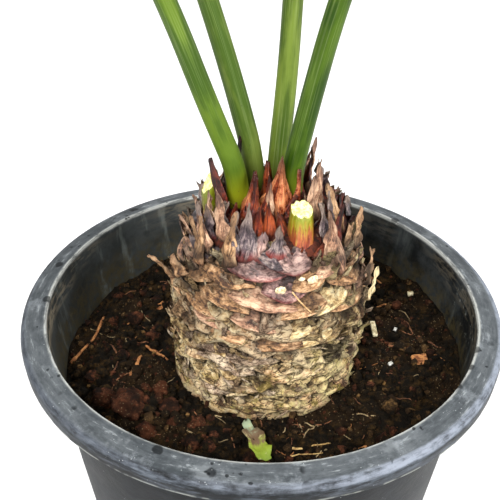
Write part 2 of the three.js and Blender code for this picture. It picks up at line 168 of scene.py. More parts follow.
# Rows of swollen bases: height in millimetres, number, phase in degrees and finishes
SWOLLEN_ROWS = (
    (62, 10, 6, ("tan", "rose", "tan")),
    (70, 10, 22, ("tan", "rose", "straw")),
    (78, 10, 2, ("rose", "tan", "tan")),
    (86, 10, 19, ("rose", "tan", "plum")),
    (94, 9, 5, ("rose", "slate", "plum", "tan")),
)
FLAPS = 110

# Rings of the crown: height above the soil, reach, number, length, flare and finishes
CROWN_RINGS = (
    (0.093, 0.0490, 14, 0.022, 0.003, ("rose", "tan", "slate", "rose", "wine")),
    (0.101, 0.0430, 14, 0.028, 0.001, ("rose", "slate", "wine", "wine")),
    (0.107, 0.0350, 12, 0.032, 0.000, ("wine", "rust", "slate", "rose")),
    (0.110, 0.0260, 9, 0.032, 0.000, ("rust", "wine", "rust")),
    (0.112, 0.0150, 6, 0.030, 0.000, ("rust", "wine")),
)
TUFTS = 260
TUFT_KINDS = ("wine", "rust", "slate", "tan", "rose")
TUFT_SHARES = (0.35, 0.25, 0.15, 0.1, 0.15)

# Pointed scales of the crown that show from the front: foot and tip in millimetres, heights above
# the soil, then width and finish
FRONT_SCALES = (
    ((-25, -4, 107), (-33.7, -1, 147), 15, "wine"), ((-24, -25, 104), (-28, -25, 139), 11, "rose"),
    ((-13, -13, 110), (-4, -5, 140), 19, "copper"), ((8, -16, 108), (10.6, -5, 151), 23, "copper"),
    ((1, -19, 110), (3, -14, 138), 9, "rose"), ((23, 8, 112), (21, 12, 134), 7, "rust"),
    ((25, 20, 112), (30, 28, 145), 7, "rose"), ((27, 20, 112), (28, 24, 134), 8, "wine"),
    ((32, -6, 109), (34, -4, 148), 11, "rose"), ((48, -8, 102), (39, -10, 137), 12, "tan"),
    ((-11, -39, 100), (-8, -30, 134), 13, "slate"), ((-20, -38, 96), (-19, -32, 130), 11, "tan"),
    ((56, -9, 92), (58, -7, 119), 9, "tan"), ((63, -15, 69), (67, -15, 94), 7, "tan"),
    ((62, -22, 63), (70, -22, 85), 7, "straw"), ((-53, -15, 71), (-67, -14, 88), 4.5, "tan"),
    ((-50, -21, 76), (-57, -21, 90), 17, "tan"), ((-42, -9, 99), (-49, -9, 113), 8, "rose"),
    ((-34, -26, 98), (-37, -24, 123), 11, "rose"), ((38, -22, 100), (35, -19, 128), 11, "slate"),
    ((32, -33, 97), (37, -30, 109), 9, "rust"), ((-9, -19, 109), (-5, -8, 140), 8, "rust"),
    ((-16, -37, 101), (-18, -33, 130), 8, "slate"), ((48, -29, 88), (37, -27, 128), 13, "rose"),
    ((-32, -19, 102), (-34, -17, 126), 11, "slate"), ((-38, -9, 103), (-38, -8, 121), 11, "slate"),
    ((-39, -27, 90), (-37, -25, 122), 11, "tan"), ((-1, 6, 112), (0, 10, 140), 13, "rust"),
    ((6, -10, 112), (3, -4, 138), 11, "wine"), ((-4, -20, 110), (4, -13, 137), 9, "rust"),
    ((14, -15, 109), (18, -10, 129), 10, "rust"), ((-2, -26, 109), (-1, -20, 126), 9, "wine"),
    ((20, -6, 111), (21.5, 0, 140), 8, "copper"), ((26, -12, 109), (28, -6, 139), 9, "rose"),
    ((37, -16, 104), (41, -12, 134), 9, "slate"), ((43, -21, 99), (46, -17, 129), 8, "wine"),
    ((3, -29, 108), (3, -24, 133), 8, "rust"), ((-6, -30, 107), (-4, -24, 129), 10, "rust"),
    ((-19, 12, 114), (-16.8, 19, 151), 6, "wine"), ((12, -26, 107), (10, -20, 124), 9, "rust"),
    ((-38, -13, 99), (-35, -12, 121), 12, "tan"), ((-21, -14, 108), (-17, -12, 124), 9, "rust"),
    ((-27, -17, 105), (-24, -16, 127), 9, "slate"), ((-32, -13, 107), (-33, -9, 130), 9, "rose"),
)

# Swollen leaf bases that show under the crown: azimuth in degrees; height of the lower edge,
# width, tallness, rise from left to right and rise of the ends in millimetres; finish; and for a
# tongue where its tip lies from its foot, to the right, outwards and up, and its share of the width
FRONT_BASES = (
    (-103, 90.5, 42, 17.5, -2, 5.5, "plum", (2, -5, 19), 0.42),
    (-124, 84.5, 41, 14, -2, 4, "tan", (4, -3, 34), 0.27),
    (-77, 95, 31, 14, -3, 4, "plum"), (-88, 99, 20, 9, -4, 3.5, "slate", (3, -3, 21), 0.6),
    (-81, 80, 28, 14, -2, 5, "plum"), (-64, 85, 24, 10, 2, 3, "tan", (3, 1, 10), 0.5),
    (-95, 76.5, 44, 8.5, -5, 1.5, "rose"), (-121, 74, 35, 10, -4, 1.5, "tan"),
    (-99, 65, 30, 8, -5, 1, "rose"), (-124, 61, 35, 8, -1, 1, "rose"),
    (-68, 72, 34, 8, 4, 1, "tan"), (-69, 61, 27, 8, 8, 0.5, "straw"),
    (-149, 78, 30, 13, 2, 4, "tan", (-7, -3, 30), 0.28), (-50, 90, 26, 10, 3, 3, "rose", (3, -2, 24), 0.4),
    (-137, 66, 32, 9, -3, 1.5, "tan"), (-111, 55, 32, 8, -2, 1, "tan"),
    (-84, 52, 36, 8, 1, 1.5, "tan"), (-60, 53, 30, 8, 4, 1, "straw"),
    (-128, 42, 34, 9, -1, 1, "straw"), (-48, 71, 30, 9, 5, 1.5, "straw"),
)

# Scars and knob: azimuth in degrees; height, size across, deep and tall, and lift in millimetres;
# then 0 for a pale scar and 1 for the knob
SCARS = (
    (-83.7, 88.6, (6.4, 2.2, 5), 3.6, 0), (-62, 91.5, (7, 2.6, 5.4), 3.2, 0),
    (-70, 93.5, (4, 2, 2.6), 3.4, 0), (-93, 107.5, (5.6, 5, 5.6), -8.5, 1),
)
STRAW = ((16.9, -52.5, 91), (22, -54.5, 85), (28.3, -54.5, 78))

# Twigs and roots on the soil: points in millimetres, radius and finish
PATH_STEPS = 15
LITTER_COLOURS = {
    "twig": ("5a3018", "b27a48"), "root": ("3a2216", "87593a"), "pale_root": ("68563c", "a8926c"),
    "straw": ("7a5a30", "cfae72"), "pale_chip": ("9a8a66", "e2d6b2"), "white_grit": ("9c9a90", "e6e4dc"),
}
LITTER_KINDS = list(LITTER_COLOURS)
STICKS = (
    (((-125, -4), (-112, 17), (-108, 39)), 1.2, "twig"), (((-83, -26), (-80, -16), (-77, -7)), 1.3, "twig"),
    (((-76, 3), (-68, -2), (-61, -8)), 0.9, "twig"), (((-100, 8), (-92, -6), (-96, -22)), 0.6, "root"),
    (((17, -87), (29, -86), (43, -81)), 0.7, "straw"), (((12, -95), (26, -90), (38, -92)), 0.5, "straw"),
    (((22, -60), (24, -66), (25, -72)), 0.5, "pale_root"),
    (((24, -61), (31, -66), (37, -66)), 0.4, "pale_root"),
    (((14, -62), (17, -70), (12, -75)), 0.4, "pale_root"), (((84, 10), (91, 6), (98, 2)), 0.8, "root"),
    (((88, 38), (98, 34), (101, 22)), 0.7, "root"), (((104, 22), (114, 16), (119, 4)), 0.6, "root"),
    (((70, 44), (84, 52), (96, 50)), 0.8, "twig"), (((60, 78), (78, 82), (88, 74)), 1.0, "twig"),
    (((-30, 96), (-10, 104), (12, 98)), 1.1, "twig"), (((-70, 74), (-58, 84), (-56, 98)), 0.8, "root"),
)

# Chips of bark and grit: place, size and height in millimetres, turn in degrees and finish
CHIPS = (
    ((103, -7), (10, 8, 1.8), 1.5, 12, "twig"), ((75, 22), (3.4, 12, 2), 3, 8, "pale_chip"),
    ((84, -9), (3, 2.2, 1.6), 1, 40, "white_grit"), ((90, 26), (2.6, 2, 1.5), 1, 70, "white_grit"),
    ((103, 60), (4, 3, 2), 1, 20, "pale_chip"), ((-70, 48), (8, 5, 1.6), 1, 50, "twig"),
    ((46, 96), (7, 5, 1.5), 1, 15, "pale_chip"), ((-24, -104), (5, 3.4, 1.4), 1, 65, "twig"),
    ((62, -84), (6, 3, 1.2), 1, 30, "twig"),
)

# The dead leaf: its route over the soil in millimetres, and its half width from foot to end
LEAF_ROUTE = ((-8, -63, 1.5), (-7, -74, 4.5), (-3, -84, 6), (1, -93, 5), (4, -100, 3.5))
LEAF_OUTLINE = ((0, 0.1, 0.3, 0.38, 0.6, 0.8, 1), (0.001, 0.0028, 0.0026, 0.0054, 0.005, 0.0056, 0.0036))

# Large clods, place and radius in millimetres, and the number of small ones
CLODS = (
    (-80, -54, 10.5), (-55, -55, 6.5), (-98, -41, 7.5), (-68, -72, 6), (-92, -64, 5.5),
    (-62, -38, 5), (-108, -22, 5), (-40, -84, 5), (80, -52, 5), (-86, 34, 5.5),
)
SMALL_CLODS = 26

# Ring of the soil that crumbs lie on, and how far out a rootlet may end, in metres and millimetres
CRUMB_RING = (0.056, 0.127)
ROOTLET_REACH = 122

# Camera: place in metres, direction in degrees, and focal length for a 36 mm wide picture
CAMERA_PLACE = (0, -0.5494, 0.6802)
CAMERA_DROP = 38.19
CAMERA_YAW = 0.85
CAMERA_PITCH = 2.83
CAMERA_ROLL = -0.81
FOCAL_LENGTH = 79.2

# Softboxes: name, place, size in metres and watts, all aimed at one point
AIM = Vector((0, 0, 0.3))
SOFTBOXES = (
    ("key", (-0.5, -1.27, 1.45), 0.7, 43),
    ("fill", (1.15, -0.75, 1.2), 1.0, 33),
    ("back", (0.2, 1.3, 1.7), 1.2, 16),
)


def tint(code):
    """Linear colour of a hex code, with full opacity."""
    parts = [int(code[i:i + 2], 16) / 255 for i in (0, 2, 4)]
    return (*[c / 12.92 if c < 0.04045 else ((c + 0.055) / 1.055) ** 2.4 for c in parts], 1)


def unit(vector):
    return vector / np.linalg.norm(vector, axis=-1, keepdims=True)


def compass(degrees):
    angle = math.radians(degrees)
    return np.array((math.cos(angle), math.sin(angle), 0))


class Value:
    """A shader socket whose sums and products become Math nodes, and a place that patterns are read at."""

    def __init__(self, finish, socket):
        self.finish = finish
        self.socket = socket

    def math(self, operation, *others):
        return self.finish.node("ShaderNodeMath", {"operation": operation}, [self, *others])

    def __add__(self, other):
        return self.math("ADD", other)

    def __sub__(self, other):
        return self.math("SUBTRACT", other)

    def __rsub__(self, other):
        return self.finish.node("ShaderNodeMath", {"operation": "SUBTRACT"}, [other, self])

    def __mul__(self, other):
        return self.math("MULTIPLY", other)

    __radd__ = __add__
    __rmul__ = __mul__

    def __abs__(self):
        return self.math("ABSOLUTE")

    def between(self, low, high):
        """0 below low, 1 above high, smooth between them; the other way round if low is the higher."""
        if low > high:
            return 1 - self.between(high, low)
        settings = {"interpolation_type": "SMOOTHSTEP"}
        return self.finish.node("ShaderNodeMapRange", settings, {0: self, 1: low, 2: high})

    def axis(self, name):
        return self.finish.node("ShaderNodeSeparateXYZ", {}, [self], name)

    def stretch(self, *factors):
        return self.finish.node("ShaderNodeVectorMath", {"operation": "MULTIPLY"}, [self, factors])

    def cloud(self, scale, detail=4, roughness=0.6, distortion=0, output=0):
        inputs = {"Vector": self, "Scale": scale, "Detail": detail}
        inputs.update({"Roughness": roughness, "Distortion": distortion})
        return self.finish.node("ShaderNodeTexNoise", {}, inputs, output)

    def cells(self, scale):
        return self.finish.node("ShaderNodeTexVoronoi", {}, {"Vector": self, "Scale": scale}, "Distance")

    def cracks(self, scale, width):
        """Thin winding lines, 1 on the line and 0 away from it."""
        return abs(self.cloud(scale, 3, 0.6, 0.4) - 0.5).between(width, 0)

    def tone(self):
        """A random value for each number."""
        return self.finish.node("ShaderNodeTexWhiteNoise", {"noise_dimensions": "1D"}, {"W": self})

    def ramp(self, *stops):
        return self.finish.node("ShaderNodeValToRGB", {"stops": stops}, [self])

    def lay(self, *layers):
        """Lays colours over this one in turn, each with the mask that shows it."""
        colour = self
        for part, over in layers:
            colour = self.finish.mix(part, colour, over)
        return colour


class Finish:
    """A material whose colour, roughness and relief are worked out from nodes."""

    def __init__(self, name, specular):
        self.material = bpy.data.materials.new(name)
        self.material.use_nodes = True
        self.tree = self.material.node_tree
        self.shader = self.tree.nodes["Principled BSDF"]
        self.shader.inputs["Specular IOR Level"].default_value = specular
        self.place = self.node("ShaderNodeTexCoord", {}, {}, "Object")

    def node(self, kind, settings, inputs, output=0):
        made = self.tree.nodes.new(kind)
        for name, value in settings.items():
            if name == "stops":
                self.set_stops(made.color_ramp.elements, value)
            else:
                setattr(made, name, value)
        for key, value in inputs.items() if isinstance(inputs, dict) else enumerate(inputs):
            self.feed(made.inputs[key], value)
        return Value(self, made.outputs[output])

    def set_stops(self, elements, stops):
        while len(elements) < len(stops):
            elements.new(0.5)
        for element, (level, code) in zip(elements, stops):
            element.position = level
            element.color = tint(code)

    def feed(self, socket, value):
        """Links a worked out value to a socket, or sets a plain one there."""
        if isinstance(value, Value):
            self.tree.links.new(value.socket, socket)
        else:
            socket.default_value = value

    def attribute(self, name, output):
        """A value that the mesh stores: the grain across and along each numbered shape, or the painted shade
        in its hollows.
        """
        return self.node("ShaderNodeAttribute", {"attribute_name": name}, {}, output)

    def mix(self, part, *colours):
        """Two colours, each worked out, a hex code or three numbers, with the second where part is 1."""
        inputs = {0: part}
        for socket, colour in zip((6, 7), colours):
            if isinstance(colour, str):
                colour = tint(colour)
            inputs[socket] = colour if isinstance(colour, (Value, tuple)) else (*colour, 1)
        return self.node("ShaderNodeMix", {"data_type": "RGBA"}, inputs, 2)

    def close(self, colour, roughness, height=None, depth=0, strength=1):
        """Feeds the shader, and gives the finished material."""
        self.feed(self.shader.inputs["Base Color"], colour)
        self.feed(self.shader.inputs["Roughness"], roughness)
        if height:
            inputs = {"Strength": strength, "Distance": depth, "Height": height}
            self.feed(self.shader.inputs["Normal"], self.node("ShaderNodeBump", {}, inputs, "Normal"))
        return self.material


def wall_radius(height):
    """Inner radius of the pot's wall at a height."""
    return np.interp(height, (POT_FLOOR, POT_TOP), (FOOT_INNER, RIM_INNER))


def soil_rise(x, y):
    """Height of the soil over its flat middle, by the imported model's rule."""
    reach = np.clip((np.hypot(x, y) - SOIL_FLAT) / (wall_radius(SOIL_LEVEL) - SOIL_FLAT), 0, 1)
    reach = reach * reach * (3 - 2 * reach)
    slope = np.where(x < 0, 0.075, 0.012) * x + 0.02 * y
    waves = np.sin(90 * x + 1) * np.cos(80 * y - 2) + 0.6 * np.sin(170 * x - 140 * y)
    return reach * (slope + 0.0024 * waves)


def rough(point, size, octaves=3):
    """Fractal noise of about -1 to 1, with lumps of a size."""
    return noise.fractal(Vector(point) / size, 0.8, 2.1, octaves)


def soil_height(x, y):
    """Height of the loose soil's surface."""
    lumps = 0.0024 * rough((x, y, 0.3), 0.015) + 0.0013 * rough((x, y, 0.7), 0.005)
    away = min(max((math.hypot(x, y) - 0.056) / 0.02, 0), 1)
    return SOIL_LEVEL + float(soil_rise(x, y)) + lumps * (0.35 + 0.65 * away) - 0.0012 * (1 - away)


def on_soil(x, y, lift):
    return (x, y, soil_height(x, y) + lift)


def trunk_centre(height):
    return TRUNK_FOOT + TRUNK_LEAN * height / TRUNK_HEIGHT


def trunk_radius(height):
    return np.interp(height, np.linspace(0, TRUNK_HEIGHT, len(TRUNK_RADII)), TRUNK_RADII)


def on_trunk(degrees, height, offset=0.0):
    """Points at an offset over the trunk's surface, by azimuth and height above the soil."""
    angle = np.radians(degrees)
    out = np.stack([np.cos(angle), np.sin(angle), 0 * angle], axis=-1)
    height = np.asarray(height)[..., None]
    return trunk_centre(height) + out * (trunk_radius(height) + np.asarray(offset)[..., None])


def dome_height(reach):
    """Height of the crown's woolly middle over the trunk's top."""
    return np.interp(reach, *np.array(CROWN_DOME[::-1]).T)


def above_soil(point):
    """A point given in millimetres with its height above the soil, in metres."""
    return np.array(point) / 1000 + (0, 0, SOIL_LEVEL)


def leaf_line(name):
    """Points and cross directions of a leaf's centre line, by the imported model's rule."""
    foot, leans, turns, _ = LEAVES[name]

    def tangent(s):
        lean = math.radians(np.interp(s, LEAN_STATIONS, leans))
        return compass(np.interp(s, TURN_STATIONS, turns)) * math.sin(lean) + (0, 0, math.cos(lean))

    point = np.array((*foot, STALK_FOOT))
    points, across = [], []
    for step in range(round(LEAF_LENGTH / LEAF_STEP) + 1):
        s = step * LEAF_STEP
        points.append(point)
        across.append(compass(np.interp(s, TURN_STATIONS, turns) + 90))
        point = point + tangent(s + LEAF_STEP / 2) * LEAF_STEP
    return np.array(points), np.array(across)


def arrays(bm):
    """Points, faces and slots of a small mesh; a mesh with mixed faces becomes triangles."""
    if len({len(face.verts) for face in bm.faces}) > 1:
        bmesh.ops.triangulate(bm, faces=bm.faces)
    bm.verts.index_update()
    points = np.array([vertex.co for vertex in bm.verts])
    faces = np.array([[vertex.index for vertex in face.verts] for face in bm.faces])
    slots = [face.material_index for face in bm.faces]
    bm.free()
    return points, faces, slots


def template(bm):
    """Points and faces of a small mesh that is bent or repeated."""
    bmesh.ops.recalc_face_normals(bm, faces=bm.faces)
    return arrays(bm)[:2]


def blade_template(columns, rows):
    """Thin closed blade: x across from -1 to 1, y along from 0 to 1, z from -1 below to 1 on top."""
    bm = bmesh.new()
    bmesh.ops.create_grid(bm, x_segments=columns, y_segments=rows, size=1)
    bmesh.ops.solidify(bm, geom=bm.faces[:], thickness=1)
    points, faces = template(bm)
    points[:, 1] = (points[:, 1] + 1) / 2
    points[:, 2] = np.where(points[:, 2] > points[:, 2].mean(), 1, -1)
    return points, faces


def upright_tube(sides, cuts):
    """Closed tube of unit radius along z from 0 to 1."""
    bm = bmesh.new()
    bmesh.ops.create_cone(bm, cap_ends=True, segments=sides, radius1=1, radius2=1, depth=1)
    long_edges = [edge for edge in bm.edges if abs(edge.verts[0].co.z - edge.verts[1].co.z) > 0.5]
    bmesh.ops.subdivide_edges(bm, edges=long_edges, cuts=cuts)
    bmesh.ops.translate(bm, vec=(0, 0, 0.5), verts=bm.verts)
    return bm


def tube_template(sides, cuts):
    return template(upright_tube(sides, cuts))


def lump_template(subdivisions):
    bm = bmesh.new()
    bmesh.ops.create_icosphere(bm, subdivisions=subdivisions, radius=1)
    return template(bm)


def round_edges(bm, edges, offset, segments):
    bmesh.ops.bevel(
        bm, geom=edges, offset=offset, offset_type="OFFSET", segments=segments, profile=0.5, affect="EDGES",
        material=-1,
    )


def columns_at(at, stations, values):
    """Each column of values, read between its stations."""
    return np.stack([np.interp(at, stations, column) for column in values.T], axis=1)


def sweep(points, path, sideways, radii):
    """Bends a unit tube along a path, with a radius and a cross direction at each point."""
    at = points[:, 2] * (len(path) - 1)
    stations = np.arange(len(path))
    uppers = np.cross(unit(np.gradient(path, axis=0)), sideways)
    radius = np.interp(at, stations, radii)[:, None]
    side, upper = columns_at(at, stations, sideways), columns_at(at, stations, uppers)
    return columns_at(at, stations, path) + radius * (side * points[:, :1] + upper * points[:, 1:2])


def smooth_path(points, steps=PATH_STEPS):
    """A curve through a few points, with steps points on it."""
    eased = columns_at(np.linspace(0, 1, steps), np.linspace(0, 1, len(points)), np.array(points, float))
    for _ in range(steps // 3):
        eased[1:-1] = (eased[:-2] + 2 * eased[1:-1] + eased[2:]) / 4
    return eased


def level_sideways(path, up=(0, 0, 1)):
    return unit(np.cross(np.gradient(path, axis=0), up))


def scale_points(
    points, foot, tip, out, width, outline, rng, bulge=0, cup=0.1, curl=0, hook=0, twist=0, rag=0.1,
    crumple=0, smile=0.2, fold=0, ridge=0.0004, thickness=0.0011,
):
    """Bends a unit blade into a scale that stands from foot to tip with its back towards out."""
    u, v, side = points.T
    length = np.linalg.norm(tip - foot)
    upward = (tip - foot) / length
    out = unit(out - upward * np.dot(out, upward))
    across = np.cross(upward, out)
    phases = rng.uniform(0, 6.3, 8)
    edge = np.where(u < 0, phases[0], phases[1])
    ragged = 1 + rag * (np.sin(9 * v + edge) + 0.7 * np.sin(21 * v + 2 * edge))
    half = width / 2 * np.interp(v, *outline) * ragged
    climb = length * (v + rag * 0.35 * v ** 3 * np.sin(5 * u + phases[2]))
    climb = climb + smile * width * u * u * (1 - v) ** 2
    swell = np.interp(v, (0, 0.05, 0.16, 0.3, 0.48, 1), (-0.3, 0.6, 1, 0.85, 0.25, 0))
    lift = bulge * swell * (1 - 0.55 * u * u) - cup * width * u * u + curl * v ** 3 - fold * half * abs(u)
    lift = lift + crumple * np.sin(13 * v + phases[6]) * np.cos(3 * u + phases[7])
    lift = lift + ridge * np.sin(7 * u + phases[3] + 1.5 * np.sin(3 * v + phases[4]))
    thick = thickness / 2 * (1 - 0.6 * abs(u)) * (1 - 0.5 * v)
    sway = hook * v * v + rag * 0.2 * width * np.sin(6 * v + phases[5])
    turn = twist * v * v
    flat, raised = half * u, lift + side * thick
    sideways = (flat * np.cos(turn) - raised * np.sin(turn) + sway)[:, None]
    outwards = (flat * np.sin(turn) + raised * np.cos(turn))[:, None]
    return foot + climb[:, None] * upward + sideways * across + outwards * out


def lens_points(points, azimuth, height, width, tall, rng, bulge, tilt, smile, rag):
    """Bends a unit blade into a swollen lens that lies across the trunk, by its lower edge."""
    u, v, side = points.T
    phases = rng.uniform(0, 6.3, 6)
    torn = 1 + rag * (np.sin(6 * u + phases[0]) + 0.6 * np.sin(15 * u + phases[1]) * v)
    rise = tall * (0.1 + 0.9 * (1 - abs(u) ** 2.2) ** 0.8) * torn
    low = smile * u * u + tilt * u / 2 + 0.03 * rag * width * np.sin(9 * u + phases[2])
    h = height + low + v * rise
    swell = np.interp(v, (0, 0.05, 0.2, 0.42, 0.7, 1), (-0.5, 0.45, 1, 0.8, 0.3, -0.15))
    waves = rag * np.sin(5 * u + phases[3]) * np.sin(4 * v + phases[4])
    offset = bulge * (swell * (1 - 0.5 * u * u) + 0.6 * waves - 0.4) + side * 0.0006
    turn = np.degrees(width / 2 / trunk_radius(height))
    return on_trunk(azimuth + u * turn, h, offset)


def linked(name, data):
    """A new object in the scene."""
    item = bpy.data.objects.new(name, data)
    bpy.context.scene.collection.objects.link(item)
    return item


def store(mesh, name, kind, field, values):
    """Stores a value for each point of a mesh, which its materials read."""
    attribute = mesh.attributes.new(name, kind, "POINT")
    attribute.data.foreach_set(field, np.asarray(values, np.float32).ravel())


def store_grain(mesh, values):
    store(mesh, "grain", "FLOAT_VECTOR", "vector", values)


class Pile:
    """Many small shapes gathered into one mesh, with the grain that its materials read."""

    def __init__(self, *finishes):
        self.finishes = finishes
        self.points = []
        self.faces = []
        self.slots = []
        self.grain = []
        self.size = 0

    def add(self, shaped, form, number, finish=0, grain=(0, 1)):
        """Adds a bent form; its grain is given, or read from two columns of the unbent points."""
        points, faces = form
        across, along = [points[:, part] if isinstance(part, int) else part for part in grain]
        self.faces.extend((faces + self.size).tolist())
        self.slots.extend([finish] * len(faces))
        self.points.append(shaped)
        self.grain.append(np.stack([across, along, np.full(len(points), number)], axis=1))
        self.size += len(points)

    def build(self, name, replaced=None, smooth=True):
        mesh = bpy.data.meshes.new(name)
        mesh.from_pydata(np.concatenate(self.points).tolist(), [], self.faces)
        mesh.polygons.foreach_set("material_index", self.slots)
        store_grain(mesh, np.concatenate(self.grain))
        add_piece(name, mesh, self.finishes, replaced, smooth)


def mesh_points(mesh):
    points = np.empty(3 * len(mesh.vertices))
    mesh.vertices.foreach_get("co", points)
    return points.reshape(-1, 3)


def mark_hollow_shade(pieces):
    """Stores how deep each point lies under what stands out around it on the trunk and crown, as painted
    shade.
    """
    clouds = [mesh_points(piece.data) for piece in pieces]
    every = np.concatenate(clouds)
    height = every[:, 2] - SOIL_LEVEL
    spread = every - TRUNK_FOOT - TRUNK_LEAN * (height / TRUNK_HEIGHT)[:, None]
    reach = np.hypot(spread[:, 0], spread[:, 1])
    turn = np.arctan2(spread[:, 1], spread[:, 0])
    columns = ((turn / (2 * math.pi) + 0.5) * HOLLOW_COLUMNS).astype(int) % HOLLOW_COLUMNS
    rows = np.clip(height / HOLLOW_ROW, 0, HOLLOW_ROWS - 1).astype(int)
    level = np.zeros((HOLLOW_ROWS, HOLLOW_COLUMNS))
    np.maximum.at(level, (rows, columns), reach)
    around = [np.roll(level, shift, 1) for shift in (-2, -1, 0, 1, 2)]
    wide = np.sort(np.stack([np.roll(part, shift, 0) for part in around for shift in (-1, 0, 1)]), 0)
    # Painted shade: the deeper a point lies under the highest points around it, the darker its colour is made
    sunk = np.clip((wide[-4:].mean(0)[rows, columns] - reach - 0.0008) / HOLLOW_DEPTH, 0, 1)
    # Painted shade also darkens the feet of the crown's scales and the lowest 6 mm of the trunk by the soil
    foot = np.clip((dome_height(reach) + TRUNK_HEIGHT + 0.007 - height) / 0.009, 0, 1)
    hollow = np.where(height > TRUNK_HEIGHT - 0.006, 0.85 * foot, sunk)
    hollow = np.where(height < 0.006, np.maximum(hollow, 0.75 - 125 * height), hollow)
    starts = np.cumsum([len(cloud) for cloud in clouds])[:-1]
    for piece, values in zip(pieces, np.split(hollow, starts)):
        store(piece.data, "hollow", "FLOAT", "value", values)


def add_piece(name, mesh, finishes, replaced=None, smooth=True):
    """Links a finished mesh as a piece that rides on the plant's one body."""
    for finish in finishes:
        mesh.materials.append(finish)
    mesh.polygons.foreach_set("use_smooth", [smooth] * len(mesh.polygons))
    piece = linked(name, mesh)
    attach(piece, "root")
    if replaced:
        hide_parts(replaced)


def turned(profile, steps):
    """Spins a profile of (radius, height) points about the upright axis into a closed shell."""
    bm = bmesh.new()
    line = [bm.verts.new((radius, 0, height)) for radius, height in profile]
    edges = [bm.edges.new(pair) for pair in zip(line, line[1:])]
    bmesh.ops.spin(
        bm, geom=line + edges, cent=(0, 0, 0), axis=(0, 0, 1), angle=2 * math.pi, steps=steps, use_merge=True
    )
    bmesh.ops.remove_doubles(bm, verts=bm.verts, dist=1e-6)
    bmesh.ops.recalc_face_normals(bm, faces=bm.faces)
    return bm


def mesh_of(bm, name):
    mesh = bpy.data.meshes.new(name)
    bm.to_mesh(mesh)
    bm.free()
    return mesh


